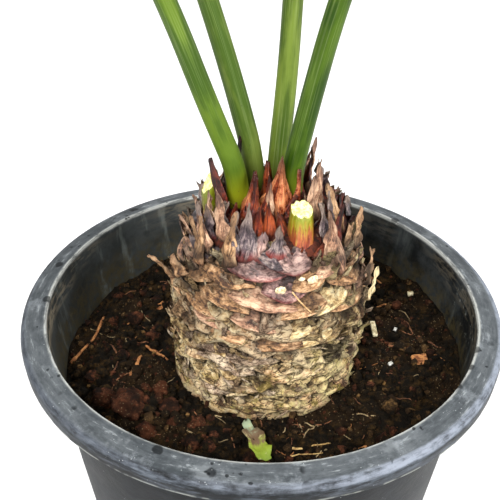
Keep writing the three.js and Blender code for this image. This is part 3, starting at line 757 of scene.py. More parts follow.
def plastic_finish(settings):
    """Black nursery plastic, greyed by sun on the rim, dusty inside and speckled with dirt."""
    finish = Finish("sunned_plastic", 0.1)
    place = finish.place
    x, y, height = place.axis("X"), place.axis("Y"), place.axis("Z")
    flat = place.stretch(1, 1, 0)
    radius = finish.node("ShaderNodeVectorMath", {"operation": "LENGTH"}, [flat], "Value")
    flare = (RIM_INNER - FOOT_INNER) / (POT_TOP - POT_FLOOR)
    outside = (radius - height * flare).between(FOOT_INNER + 0.0006, FOOT_INNER + 0.0013)
    for part in (radius.between(RIM_INNER - 0.0006, RIM_INNER + 0.0006), height.between(0.2, 0.19)):
        outside = outside.math("MAXIMUM", part)
    face = radius.between(RING_EDGE - 0.0012, RING_EDGE + 0.0008)
    on_rim = outside * height.between(0.2375, 0.2415) * (1 - 0.85 * face)
    around = finish.node("ShaderNodeCombineXYZ", {}, [radius * 60, y.math("ARCTAN2", x) * 1.6, height * 60])
    scuffs, mottle = around.cloud(5, 5, 0.7), place.cloud(34, 6, 0.7)
    broad, fine = place.cloud(11, 3, 0.5), place.cloud(190, 5, 0.75)
    left, right = x.between(-0.04, -0.13), x.between(-0.06, 0.11)
    smeared = (scuffs * 0.6 + fine * 0.15 + broad * 0.25).between(0.42, 0.62)
    body = finish.mix(mottle.between(0.4, 0.62), "040506", "0d1013")
    # Pale smears on the body, far stronger on the rim's outer face, which is painted darker on its left side
    # as shade
    body = body.lay((smeared * (0.05 + (0.63 - 0.3 * left) * face), "585f69"))
    weathered = mottle * 0.27 + fine * 0.13 + broad * 0.25 + scuffs * 0.35
    bleached = place.cloud(24, 5, 0.6).between(0.56, 0.6) * mottle.between(0.4, 0.54)
    rim = finish.mix(weathered.between(0.39, 0.6), settings.rim_shade, settings.rim_colour)
    rim = rim.lay((bleached * 0.32, "7e8285"))
    streaks = place.stretch(1, 1, 0.14).cloud(70, 4, 0.6).between(0.52, 0.66)
    # Painted light and shade across the inner wall: 1 on the left, where light falls, down to 0.4 on the
    # right
    shaded = 1 - 0.6 * x.between(-0.1, 0.06)
    lip = height.between(0.2265, 0.239) * scuffs.between(0.43, 0.58) * broad.between(0.38, 0.52)
    silt = (height + 0.02 * (broad - 0.5)).between(SOIL_LEVEL + 0.024, SOIL_LEVEL + 0.004)
    # The inner wall is painted lighter on its left, and its pale streaks and lip marks fade towards the
    # right, as painted light and shade
    inner = finish.mix(mottle.between(0.4, 0.62), "0f1112", "282b2c").lay(
        ((shaded - 0.4) * 0.3, "565a58"),
        (streaks * shaded * 0.7, "5a5f5c"),
        (fine.between(0.56, 0.66) * broad.between(0.5, 0.6) * 0.5, "7c7f7a"),
        (lip * shaded * 0.8, "756c5c"),
        (silt * fine.between(0.36, 0.6) * 0.75, "3a3320"),
    )
    dust = place.cloud(58, 6, 0.74).between(0.54, 0.68) * (0.02 + 0.28 * on_rim)
    worn_edge = radius.between(RIM_INNER + 0.0024, RIM_INNER + 0.0006) * height.between(0.2452, 0.2472)
    # Painted highlight: a pale band along the rim's rounded shoulder, broken by the mottling
    shoulder_highlight = radius.between(0.1472, 0.149) * height.between(0.2395, 0.2422) * weathered.between(0.38, 0.56)
    drift = place.cloud(120, 2, 0.5, output="Color").stretch(0.004, 0.004, 0.004)
    bent = finish.node("ShaderNodeVectorMath", {"operation": "ADD"}, [place, drift])
    spots = bent.cells(62).between(0.24, 0.16) * (place.cloud(19, 2) + 0.14 * left).between(0.46, 0.52)
    spots = spots * (0.3 + 0.7 * on_rim)
    small_spots = bent.cells(170).between(0.24, 0.14) * (mottle + 0.05 * left).between(0.5, 0.56) * on_rim
    specks = place.cells(400).between(0.17, 0.08) * place.cloud(60, 4).between(0.56, 0.63)
    foot_line = height.between(SKIRT_FOOT + 0.0016, SKIRT_FOOT + 0.0004)
    foot_line = foot_line * height.between(SKIRT_FOOT - 0.002, SKIRT_FOOT) * outside
    colour = inner.lay(
        (outside, body),
        (on_rim, rim),
        (dust, settings.dust_colour),
        (worn_edge * (0.3 + 0.6 * scuffs.between(0.42, 0.54)), "acada8"),
        (scuffs.between(0.58, 0.66) * on_rim * 0.5, "8f9496"),
        # Painted highlight on the shoulder, stronger on the right side
        (shoulder_highlight * (0.2 + 0.75 * right), "828893"),
        (spots * 0.8, "0c0e10"),
        (small_spots * 0.85, "0a0c0e"),
        (specks * outside * 0.5, "b9bdbe"),
        (foot_line * place.cloud(90, 3).between(0.42, 0.56) * 0.55, "a5a79f"),
    )
    raised = 0.6 * fine + 0.4 * mottle + 0.4 * scuffs - 0.4 * spots
    return finish.close(colour, 0.4 + 0.26 * mottle + 0.3 * dust, raised, 0.0007, 0.4)


def soil_finish(name, dark, light, warm):
    """Crumbly potting soil with fine grit in it."""
    finish = Finish(name, 0.1)
    place = finish.place
    lumps, patches = place.cloud(130, 8, 0.78), place.cloud(26, 3, 0.6)
    grit = place.cells(520).between(0.22, 0.1) * patches.between(0.5, 0.6)
    colour = finish.mix(lumps.between(0.46, 0.68), dark, light)
    colour = colour.lay((patches.between(0.48, 0.66) * 0.6, warm), (grit * 0.5, "a08a66"))
    return finish.close(colour, 0.72 + 0.24 * lumps, lumps + 0.3 * place.cloud(420, 4, 0.7), 0.0026)


def scale_finish(name, lying, dark, middle, light, foot, tip, gloss, foot_reach):
    """Dry or fresh scale: soft stains, streaks and cracks along it, a tinted foot and tip."""
    finish = Finish(name, 0.4)
    grain = finish.attribute("grain", "Vector")
    along, tone = grain.axis("Y"), grain.axis("Z").tone()
    lengthwise = grain.stretch(*((1.1, 2.6, 7) if lying else (2.2, 1, 7)))
    streaks, fibres = lengthwise.cloud(1.5, 4, 0.65, 0.6), lengthwise.cloud(4.5, 4, 0.7, 0.5)
    stains, flecks = finish.place.cloud(95, 5, 0.7), finish.place.cloud(420, 4, 0.75)
    cracks = lengthwise.cracks(1.9, 0.02)
    blend = streaks * 0.35 + fibres * 0.15 + flecks * 0.15 + stains * 0.35 + 0.05 * (tone - 0.5)
    colour = blend.ramp((0.43, dark), (0.495, middle), (0.57, light))
    if not lying:
        edge = abs(grain.axis("X")).between(0.55, 1) * stains.between(0.42, 0.56)
        colour = colour.lay((edge * 0.6, light), (along.between(0.55, 0.95) * 0.75, tip))
    blush = along.between(foot_reach + 0.16, foot_reach - 0.06) * stains.between(0.34, 0.52)
    colour = colour.lay(
        (blush * (0.5 + 0.5 * tone), foot),
        (cracks * 0.6, "20140e"),
        # Painted shade, darker where the scale lies deep among its neighbours
        (finish.attribute("hollow", "Fac") * (0.6 if lying else 0.9), "140c08"),
    )
    raised = streaks * 0.8 + stains * 0.5 + fibres * 0.4 + flecks * 0.3 - 0.25 * cracks
    return finish.close(colour, gloss + 0.2 * (stains - 0.5), raised, 0.0011)


def old_bark_finish(name, dark, middle, light, lichen_colour):
    """Weathered leaf bases, flaky and cracked across, with yellow-olive lichen towards the soil."""
    finish = Finish(name, 0.25)
    grain, place = finish.attribute("grain", "Vector"), finish.place
    height, tone = place.axis("Z"), grain.axis("Z").tone()
    streaks = grain.stretch(1.9, 3.6, 7).cloud(1.5, 5, 0.75, 0.8)
    fibres = place.stretch(1, 1, 1.8).cloud(190, 5, 0.78, 0.5)
    flecks, stains = place.cloud(460, 4, 0.8), place.cloud(66, 5, 0.7)
    cracks = place.stretch(1, 1, 2.4).cracks(95, 0.028)
    blend = streaks * 0.32 + fibres * 0.22 + flecks * 0.14 + stains * 0.32 + 0.13 * (tone - 0.5)
    low = height.between(SOIL_LEVEL + 0.062, SOIL_LEVEL + 0.002)
    high = height.between(SOIL_LEVEL + 0.036, SOIL_LEVEL + 0.056)
    right = place.axis("X").between(-0.01, 0.055)
    lichen = (low * 0.3 + right * low * 0.5 + right * 0.2) * stains.between(0.42, 0.56)
    moss = finish.mix(fibres.between(0.42, 0.55), "64562f", lichen_colour)
    hues = place.cloud(135, 3, 0.5)
    crust = place.cells(340).between(0.34, 0.14) * stains.between(0.5, 0.6) * low
    colour = blend.ramp((0.435, dark), (0.49, middle), (0.57, light)).lay(
        (lichen.math("MINIMUM", 0.8), moss),
        # Painted light: the bark's right side is lightened in patches with pale straw
        (right * stains.between(0.38, 0.54) * 0.4, "e2d09a"),
        (hues.between(0.54, 0.64) * 0.3, "806656"),
        (hues.between(0.45, 0.36) * (low + right).math("MINIMUM", 1) * 0.4, "9a8c42"),
        (crust * 0.55, "d8d1a0"),
        (cracks * 0.75, "1d130c"),
        (high * 0.48, "422c1c"),
        # Painted shade, darker where the bark lies deep among the leaf bases around it
        (finish.attribute("hollow", "Fac") * 0.85, "170e08"),
    )
    raised = streaks * 0.7 + 0.6 * fibres + 0.4 * flecks + 0.5 * stains - 0.4 * cracks
    return finish.close(colour, 0.85 + 0.1 * fibres, raised, 0.0016)


def stalk_finish(name, green, light, foot):
    """Waxy leaf stalk, paler where its wax is thick, with fine dark flecks near the foot."""
    finish = Finish(name, 0.16)
    grain, place = finish.attribute("grain", "Vector"), finish.place
    along = grain.axis("Y")
    wax, lines = grain.stretch(0.5, 5, 1).cloud(1.2, 4, 0.55), grain.stretch(5, 2.4, 1).cloud(1.6, 3, 0.6)
    flecks = place.cells(420).between(0.2, 0.08) * place.cloud(90, 2).between(0.52, 0.64)
    colour = finish.mix(wax.between(0.38, 0.62), green, light).lay(
        (lines.between(0.5, 0.7) * 0.16, "a9b67e"),
        (along.between(0.11, 0.025) * 0.85, foot),
        (flecks * (0.25 + 0.6 * along.between(0.3, 0.05)), "3c3a1e"),
        (along.between(0.055, 0.02) * 0.5, "4a3a16"),
    )
    return finish.close(colour, 0.46 + 0.14 * wax, 0.6 * lines + 0.25 * place.cloud(500, 3), 0.0005, 0.3)


def stub_finish():
    """Cut stalk: yellow-green at the top, orange and then dark red down to its foot, ribbed."""
    finish = Finish("cut_stalk_skin", 0.5)
    grain = finish.attribute("grain", "Vector")
    along = grain.axis("Y")
    ribs = grain.stretch(2.2, 1.1, 1).cloud(1.5, 4, 0.6)
    # Thin dark lines of painted shade along the stalk's grooves
    groove_shade = grain.stretch(2.6, 0.9, 1).cracks(1.5, 0.035)
    low = along.between(0.85, 0.5)
    level = along + 1.1 * (ribs - 0.5) + grain.axis("Z")
    stops = (0.05, "5c1c12"), (0.28, "8e3e24"), (0.52, "9a5824"), (0.68, "8e7a12"), (0.95, "747c0e")
    # Painted highlight on the tops of the ribs; painted shade between them and along the grooves, mostly
    # towards the foot
    colour = level.ramp(*stops).lay(
        (ribs.between(0.54, 0.66) * 0.34, "cfb04c"),
        (ribs.between(0.46, 0.36) * low * 0.6, "6a2412"),
        (groove_shade * (0.2 + 0.6 * low), "54200c"),
    )
    return finish.close(colour, 0.32 + 0.25 * ribs, ribs + 0.3 * finish.place.cloud(400, 3), 0.0012, 0.8)


def cut_face_finish(name, shade, light):
    finish = Finish(name, 0.4)
    pores = finish.place.cloud(620, 5, 0.7)
    colour = finish.mix(pores.between(0.36, 0.56), shade, light)
    return finish.close(colour, 0.45 + 0.3 * pores, pores, 0.0007, 0.5)


def leaflet_finish(name, green, light):
    """Glossy leaflet with a pale midrib and faint veins along it."""
    finish = Finish(name, 0.2)
    grain = finish.attribute("grain", "Vector")
    veins = grain.stretch(9, 1.4, 3).cloud(1.4, 4, 0.6)
    colour = finish.mix(veins.between(0.4, 0.6), green, light).lay(
        (abs(grain.axis("X")).between(0.2, 0.05) * 0.4, "5f7c2e"),
        (grain.axis("Y").between(0.9, 1) * 0.6, "7c6c34"),
    )
    return finish.close(colour, 0.5 + 0.16 * veins, veins, 0.0004, 0.4)


def dead_leaf_finish():
    """Folded leaf: grey-green at its foot, rotten brown in the middle, yellow-green at its end."""
    finish = Finish("dead_leaf", 0.4)
    blots = finish.place.cloud(210, 5, 0.7)
    level = finish.attribute("grain", "Vector").axis("Y") + 0.5 * (blots - 0.5)
    stops = (0.24, "9fae8e"), (0.36, "6d5a44"), (0.55, "5c452f"), (0.66, "84922c"), (0.95, "71851f")
    colour = level.ramp(*stops).lay((blots.between(0.56, 0.66) * 0.6, "b6ab7e"))
    return finish.close(colour, 0.5 + 0.3 * blots, blots, 0.0008, 0.7)


def wood_finish(name, dark, light):
    """Dead twig, root or chip, streaked along its length."""
    finish = Finish(name, 0.3)
    streaks = finish.attribute("grain", "Vector").stretch(2, 6, 3).cloud(1.5, 4, 0.7)
    spots = finish.place.cloud(300, 4, 0.7)
    colour = finish.mix((streaks * 0.5 + spots * 0.5).between(0.42, 0.58), dark, light)
    return finish.close(colour, 0.8 + 0.15 * streaks, streaks + spots, 0.0006, 0.6)


def scale_finishes(prefix, lying):
    """The finishes of all kinds of scale, for those that lie across or stand upright."""
    made = bpy.data.materials
    names = {f"{prefix}_{kind}": colours for kind, colours in SCALE_COLOURS.items()}
    return [made.get(name) or scale_finish(name, lying, *colours) for name, colours in names.items()]


def amount(name, description, default, least=0):
    return IntProperty(name=name, description=description, default=default, min=least)


def length(name, description, default):
    return FloatProperty(name=name, description=description, default=default, unit="LENGTH")


def paint(name, description, code):
    return FloatVectorProperty(name=name, description=description, default=tint(code)[:3], subtype="COLOR")


class CYCAD_PG_pot(bpy.types.PropertyGroup):
    """Sizes and colours of the pot."""

    steps: amount("Steps around", "Facets around the pot", 160, 48)
    edge: length("Edge rounding", "Radius of the rim's rounded edges", 0.0007)
    rim_colour: paint("Rim colour", "Sunned grey of the rim", "595d60")
    rim_shade: paint("Rim shade", "Darker grey of the rim's mottling", "363a3d")
    dust_colour: paint("Dust colour", "Pale dust that lies on the plastic", "90959a")


class CYCAD_PG_soil(bpy.types.PropertyGroup):
    """Amounts of crumbs and roots in the soil."""

    crumbs: amount("Crumbs", "Loose crumbs on the soil", 4200)
    crumb_size: length("Crumb size", "Radius of a common crumb", 0.0011)
    rootlets: amount("Rootlets", "Fine roots on the soil", 90)
    colour: paint("Soil colour", "Colour of damp soil", "0d0904")


class CYCAD_PG_trunk(bpy.types.PropertyGroup):
    """Sizes and colours of the trunk's leaf bases."""

    around: amount("Scales around", "Leaf bases in one row", 12, 5)
    relief: length("Relief", "How far a leaf base stands out", 0.0068)
    flakes: amount("Flakes", "Papery flakes on the trunk", 760)
    lichen_colour: paint("Lichen colour", "Olive lichen near the soil", "bab06e")


class CYCAD_PG_leaf(bpy.types.PropertyGroup):
    """Sizes of the feather leaves."""

    pairs: amount("Leaflet pairs", "Pairs of leaflets on a leaf", 38, 4)
    leaflet_length: length("Leaflet length", "Length of the longest leaflets", 0.192)
    leaflet_width: length("Leaflet width", "Width of a leaflet at its widest", 0.0115)


class CYCAD_PG_settings(bpy.types.PropertyGroup):
    """All sizes and colours of the potted cycad."""

    pot: PointerProperty(type=CYCAD_PG_pot)
    soil: PointerProperty(type=CYCAD_PG_soil)
    trunk: PointerProperty(type=CYCAD_PG_trunk)
    leaf: PointerProperty(type=CYCAD_PG_leaf)


class CYCAD_OT_pot(bpy.types.Operator):
    """Build the nursery pot with its rolled rim and drain holes"""

    bl_idname = "cycad.pot"
    bl_label = "Pot"

    def execute(self, context):
        settings = context.scene.cycad.pot
        profile = (
            (0, 0),
            (0.0988, 0),
            (0.101, 0.0022),
            (wall_radius(SKIRT_FOOT) + POT_WALL, SKIRT_FOOT),
            (wall_radius(POT_TOP - 0.0028) + POT_WALL, POT_TOP - 0.0038),
            (RING_EDGE - 0.0028, POT_TOP - 0.0064),
            (RIM_OUTER - 0.0024, SHOULDER - 0.001),
            (RIM_OUTER - 0.0032, SKIRT_FOOT),
            (RIM_OUTER - 0.0009, SKIRT_FOOT),
            (RIM_OUTER, SHOULDER),
            (RIM_OUTER - 0.0006, POT_TOP - 0.0052),
            (RING_EDGE, POT_TOP - 0.0036),
            (RIM_INNER + 0.001, POT_TOP),
            (RIM_INNER, POT_TOP - 0.0008),
            (FOOT_INNER, POT_FLOOR),
            (0, POT_FLOOR),
        )
        bm = turned(profile, settings.steps)
        round_edges(bm, [edge for edge in bm.edges if self.is_rim_hoop(edge)], settings.edge, 3)
        for vertex in bm.verts:
            self.roughen(vertex)
        shell = linked("pot_blank", mesh_of(bm, "pot_blank"))
        drill = linked("drain_drill", self.drill())
        cut = shell.modifiers.new("drain_holes", "BOOLEAN")
        cut.object = drill
        cut.operation = "DIFFERENCE"
        cut.solver = "EXACT"
        graph = context.evaluated_depsgraph_get()
        mesh = bpy.data.meshes.new_from_object(shell.evaluated_get(graph))
        for helper in (shell, drill):
            bpy.data.objects.remove(helper)
        mesh.name = "pot_shell"
        add_piece("pot_shell", mesh, [plastic_finish(settings)], "pot")
        return {"FINISHED"}

    def is_rim_hoop(self, edge):
        first, second = [vertex.co for vertex in edge.verts]
        level = abs(first.z - second.z) < 1e-7
        same_radius = abs(first.xy.length - second.xy.length) < 1e-6
        return level and same_radius and first.z > SHOULDER - 0.0005 and first.xy.length > 0.1352

    def roughen(self, vertex):
        """Wavers the moulded wall slightly and leaves a ragged lip under the skirt."""
        outwards = Vector((vertex.co.x, vertex.co.y, 0))
        if outwards.length < 0.05:
            return
        waver = 0.00035 * rough(vertex.co, 0.09, 2)
        if abs(vertex.co.z - SKIRT_FOOT) < 0.0006 and outwards.length > 0.147:
            vertex.co.z += 0.0004 * rough(vertex.co, 0.004, 2) - 0.0002
        vertex.co += outwards.normalized() * waver

    def drill(self):
        bm = bmesh.new()
        sizes = {"radius1": DRAIN_RADIUS, "radius2": DRAIN_RADIUS, "depth": 0.02}
        for i in range(DRAIN_HOLES):
            place = Matrix.Translation(compass((i + 0.5) * 360 / DRAIN_HOLES) * DRAIN_RING)
            bmesh.ops.create_cone(bm, cap_ends=True, segments=24, matrix=place, **sizes)
        return mesh_of(bm, "drain_drill")


class CYCAD_OT_soil(bpy.types.Operator):
    """Build the bed of soil with its clods and crumbs"""

    bl_idname = "cycad.soil"
    bl_label = "Soil"

    def execute(self, context):
        settings = context.scene.cycad.soil
        finishes = [
            soil_finish("soil_damp", settings.colour, "3b2a13", "26190b"),
            soil_finish("soil_red", "170d07", "633a26", "4a2817"),
            soil_finish("soil_dry", "281c10", "806038", "4c3720"),
        ]
        self.bed(finishes[0])
        rng = np.random.default_rng(SEEDS["soil"])
        self.clods(rng, finishes)
        self.crumbs(rng, finishes, settings)
        return {"FINISHED"}

    def bed(self, finish):
        rim = float(wall_radius(SOIL_LEVEL)) - SEAT_GAP
        floor = POT_FLOOR + SEAT_GAP
        surface = [(radius, SOIL_LEVEL) for radius in np.linspace(rim, 0, 96)]
        foot = float(wall_radius(floor)) - SEAT_GAP
        bm = turned([(0, floor), (foot, floor), *surface], 280)
        for vertex in bm.verts:
            if vertex.co.z < SOIL_LEVEL - 0.001:
                continue
            at_wall = vertex.co.xy.length > rim - 1e-5
            vertex.co.z = soil_height(vertex.co.x, vertex.co.y)
            if at_wall:
                vertex.co.xy *= (float(wall_radius(vertex.co.z)) - SEAT_GAP) / rim
        add_piece("soil_bed", mesh_of(bm, "soil_bed"), [finish], "soil")

    def clods(self, rng, finishes):
        lump = lump_template(4)
        pile = Pile(*finishes)
        places = [*CLODS]
        for _ in range(SMALL_CLODS):
            angle, reach = rng.uniform(120, 300), rng.uniform(66, 118)
            x, y, _ = compass(angle) * reach
            places.append((x, y, rng.uniform(2.4, 4.6)))
        for number, (x, y, radius) in enumerate(places):
            x, y, radius = x / 1000, y / 1000, radius / 1000
            lumps = [1 + 0.35 * rough(p + number * 3.7, 0.8, 4) for p in lump[0]]
            shaped = lump[0] * np.array(lumps)[:, None] * (1, 1, 0.72) * radius + on_soil(x, y, radius * 0.3)
            pile.add(shaped, lump, number, 1 if x < 0 else 2)
        pile.build("soil_clods")

    def crumbs(self, rng, finishes, settings):
        lump = lump_template(1)
        pile = Pile(*finishes)
        for number in range(settings.crumbs):
            reach = math.sqrt(rng.uniform(CRUMB_RING[0] ** 2, CRUMB_RING[1] ** 2))
            x, y, _ = compass(rng.uniform(0, 360)) * reach
            radius = settings.crumb_size * min(math.exp(rng.normal(0.1, 0.62)), 4)
            worn = rng.uniform(0.6, 1.25, (len(lump[0]), 1))
            shaped = lump[0] * worn * rng.uniform(0.7, 1.2, 3) * radius + on_soil(x, y, 0.35 * radius)
            if reach > wall_radius(shaped[:, 2].mean()) - radius * 1.3:
                continue
            pile.add(shaped, lump, number, int(rng.choice(3, p=(0.74, 0.17, 0.09))))
        pile.build("soil_crumbs", smooth=False)


class CYCAD_OT_litter(bpy.types.Operator):
    """Scatter the twigs, roots, chips and the dead leaf on the soil"""

    bl_idname = "cycad.litter"
    bl_label = "Litter"

    def execute(self, context):
        finishes = [wood_finish(f"litter_{kind}", *colours) for kind, colours in LITTER_COLOURS.items()]
        rng = np.random.default_rng(SEEDS["litter"])
        self.sticks(rng, finishes, context.scene.cycad.soil)
        self.chips(rng, finishes)
        self.dead_leaf()
        return {"FINISHED"}

    def sticks(self, rng, finishes, settings):
        tube = tube_template(6, 13)
        pile = Pile(*finishes)
        routes = list(STICKS)
        for _ in range(settings.rootlets):
            start = compass(rng.uniform(0, 360))[:2] * rng.uniform(62, 112)
            heading = rng.uniform(0, 360)
            bend = rng.uniform(-50, 50)
            step = rng.uniform(3, 11)
            middle = start + compass(heading)[:2] * step
            end = middle + compass(heading + bend)[:2] * step
            if np.hypot(*end) < ROOTLET_REACH:
                kind = rng.choice(("root", "root", "pale_root", "twig"))
                routes.append(((start, middle, end), rng.uniform(0.2, 0.45), kind))
        for number, (route, radius, kind) in enumerate(routes):
            flat = smooth_path(np.array(route) / 1000)
            radius = radius / 1000
            waver = np.cumsum(rng.normal(0, 0.0002, (PATH_STEPS, 2)), axis=0)
            lift = 0.0016 if kind == "straw" else 0.6 * radius
            path = np.array([on_soil(x, y, lift) for x, y in flat + waver])
            path[:, 2] = np.maximum(path[:, 2], smooth_path(path)[:, 2])
            radii = radius * (1 + 0.15 * rng.normal(size=PATH_STEPS)) * np.linspace(1.1, 0.7, PATH_STEPS)
            shaped = sweep(tube[0], path, level_sideways(path), radii)
            pile.add(shaped, tube, number, LITTER_KINDS.index(kind), (0, 2))
        pile.build("litter_sticks")

    def chips(self, rng, finishes):
        bm = bmesh.new()
        bmesh.ops.create_cube(bm, size=1)
        round_edges(bm, bm.edges[:], 0.12, 2)
        chip = template(bm)
        pile = Pile(*finishes)
        for number, (place, size, lift, turn, kind) in enumerate(CHIPS):
            worn = 1 + 0.12 * rng.normal(size=(len(chip[0]), 1)) * abs(chip[0][:, 2:])
            tilt = Matrix.Rotation(math.radians(turn), 3, "Z") @ Matrix.Rotation(0.25, 3, "X")
            shaped = chip[0] * worn * np.array(size) / 1000 @ np.array(tilt).T
            shaped = shaped + on_soil(*np.array(place) / 1000, lift / 1000)
            pile.add(shaped, chip, number, LITTER_KINDS.index(kind))
        pile.build("litter_chips")

    def dead_leaf(self):
        """A folded dead leaf that leans from the foot of the trunk to the wall."""
        path = smooth_path(LEAF_ROUTE) / 1000
        path[:, 2] += [soil_height(x, y) for x, y, _ in path]
        blade = blade_template(4, PATH_STEPS - 1)
        u, v, side = blade[0].T
        centre = columns_at(v, np.arange(PATH_STEPS) / (PATH_STEPS - 1), path)
        half = np.interp(v, *LEAF_OUTLINE) * (1 + 0.14 * np.sin(23 * v + 2 * u))
        fold = abs(u) * half * 0.7 + 0.0008 * np.sin(9 * v + 3 * u)
        shaped = centre + np.stack([half * u, 0.25 * half * u, fold + side * 0.0002], axis=1)
        pile = Pile(dead_leaf_finish())
        pile.add(shaped, blade, 3)
        pile.build("litter_leaf")


class CYCAD_OT_trunk(bpy.types.Operator):
    """Build the barrel of leaf bases, from the matted foot to the swollen bases under the crown"""

    bl_idname = "cycad.trunk"
    bl_label = "Trunk"

    def execute(self, context):
        settings = context.scene.cycad.trunk
        lichen = settings.lichen_colour
        old_bark = [old_bark_finish(name, *colours, lichen) for name, colours in OLD_BARK.items()]
        self.core(old_bark[0])
        self.old_bases(old_bark, settings)
        self.swollen_bases(settings)
        self.scars()
        self.flakes(old_bark, settings)
        return {"FINISHED"}

    def core(self, finish):
        heights = np.linspace(SEAT_GAP, TRUNK_HEIGHT, 90)
        wall = [(trunk_radius(height) - CORE_DEPTH, height) for height in heights]
        bm = turned([(0, SEAT_GAP), *wall, (0, TRUNK_HEIGHT)], 240)
        for vertex in bm.verts:
            height = vertex.co.z
            radius = vertex.co.xy.length
            if radius > 0.03:
                stretched = Vector((vertex.co.x, vertex.co.y, 2.2 * height))
                push = 0.0013 * rough(stretched, 0.006, 4) + 0.0016 * rough(stretched, 0.02, 2)
                vertex.co.xy *= (radius + push) / radius
            vertex.co = Vector(trunk_centre(height)) + Vector((vertex.co.x, vertex.co.y, 0))
        mesh = mesh_of(bm, "trunk_core")
        store_grain(mesh, [(math.atan2(v.co.y, v.co.x) * 8, v.co.z * 90, 0.5) for v in mesh.vertices])
        add_piece("trunk_core", mesh, [finish], "trunk")

    def old_bases(self, finishes, settings):
        """Compressed, ragged leaf bases of the lower trunk, with a broken tooth on some."""
        rng = np.random.default_rng(SEEDS["old_bases"])
        blade, tooth = blade_template(14, 7), blade_template(4, 6)
        pile = Pile(*finishes)
        number = 0
        for row, height in enumerate(np.arange(*OLD_ROWS)):
            for i in range(settings.around):
                azimuth = (i + 0.5 * (row % 2) + rng.normal(0, 0.14)) * 360 / settings.around
                wave = 0.0022 * math.sin(math.radians(2 * azimuth) + 1.3 * row)
                sag = 0.0025 * math.cos(math.radians(azimuth - FRONT))
                drop = (wave - sag) * min(max(height, 0) / 0.015, 1)
                shaped = lens_points(
                    blade[0], azimuth, height + drop + rng.normal(0, 0.0016), rng.uniform(0.020, 0.044),
                    rng.uniform(0.008, 0.0145), rng,
                    bulge=settings.relief * rng.uniform(0.6, 1.35) * np.interp(height, (0, 0.02), (0.5, 1)),
                    tilt=rng.normal(0, 0.0055), smile=rng.uniform(0, 0.0045), rag=0.4,
                )
                shaped[:, 2] = np.maximum(shaped[:, 2], SOIL_LEVEL + SEAT_GAP)
                kind = int(rng.choice(3, p=OLD_BARK_SHARES))
                pile.add(shaped, blade, number, kind)
                number += 1
                if height < 0.012 or rng.random() > (0.5 if height < 0.05 else 0.25):
                    continue
                foot = on_trunk(azimuth, height + 0.003)
                drift = compass(azimuth + 90) * rng.normal(0, 0.004)
                rise = height + rng.uniform(0.009, 0.017)
                tip = on_trunk(azimuth, rise, rng.choice((0.001, 0.003, 0.0065))) + drift
                width = rng.uniform(0.003, 0.010)
                bent = {"rag": 0.3, "cup": 0.2, "curl": 0.001}
                shaped = scale_points(tooth[0], foot, tip, compass(azimuth), width, STUMP, rng, **bent)
                pile.add(shaped, tooth, number, kind)
                number += 1
        pile.build("trunk_old_bases")

    def placed_bases(self, rng):
        """The bases that show from the front, and rows of random ones where there is room."""
        bases = [*FRONT_BASES]
        for height, around, phase, kinds in SWOLLEN_ROWS:
            for i in range(around):
                azimuth = (phase + i * 360 / around + rng.normal(0, 3) + 180) % 360 - 180
                h = height + rng.normal(0, 1.5)
                if min(self.apart(azimuth, h, base) for base in FRONT_BASES) > 1:
                    tall = rng.uniform(9, 14)
                    width, tilt = rng.uniform(32, 44), rng.normal(0, 3)
                    length = rng.uniform(0.55, 1) * np.interp(height, (62, 94), (12, 24))
                    tip = (rng.normal(0, 4), rng.uniform(-3, 3), length)
                    kind = rng.choice(kinds)
                    bases.append((azimuth, h, width, tall, tilt, rng.uniform(2, 5), kind, tip, 0.42))
        return bases

    def apart(self, azimuth, height, base):
        """Distance of a place on the trunk from a front base, 1 where they start to crowd."""
        turn = abs((azimuth - base[0] + 180) % 360 - 180)
        return math.hypot(turn / (4.5 + 0.4 * base[2]), (height - base[1]) / 8)

    def swollen_bases(self, settings):
        """Swollen leaf bases that lie across the trunk, many with a papery tongue."""
        rng = np.random.default_rng(SEEDS["swollen_bases"])
        blade, tongue = blade_template(18, 10), blade_template(8, 14)
        pile = Pile(*scale_finishes("swollen", True))
        tongues = Pile(*scale_finishes("papery", False))
        for number, (azimuth, h, width, tall, tilt, smile, kind, *tip) in enumerate(self.placed_bases(rng)):
            h, width, tall = h / 1000, width / 1000, tall / 1000
            kind = SCALE_KINDS.index(kind)
            bulge = settings.relief * np.interp(h, (0.045, 0.06, 0.09), (0.7, 1, 1.3))
            bent = {"bulge": bulge, "tilt": tilt / 1000, "smile": smile / 1000, "rag": 0.1}
            pile.add(lens_points(blade[0], azimuth, h, width, tall, rng, **bent), blade, number, kind)
            if not tip:
                continue
            sideways, outwards, length = np.array(tip[0]) / 1000
            out, level = compass(azimuth), compass(azimuth + 90)
            foot = on_trunk(azimuth, h + 0.55 * tall, 0.15 * settings.relief)
            end = on_trunk(azimuth, h + 0.55 * tall, 0.1 * settings.relief)
            end = end + out * outwards + level * sideways + (0, 0, length)
            shaped = scale_points(
                tongue[0], foot, end, out, tip[1] * width, TONGUE, rng, cup=0.18,
                curl=rng.uniform(-0.001, 0.004), hook=rng.normal(0, 0.002), twist=rng.normal(0, 0.5),
                rag=0.2, crumple=0.0008, smile=0.1, ridge=0.0002,
            )
            tongues.add(shaped, tongue, number, kind)
        pile.build("trunk_swollen_bases")
        tongues.build("trunk_tongues")

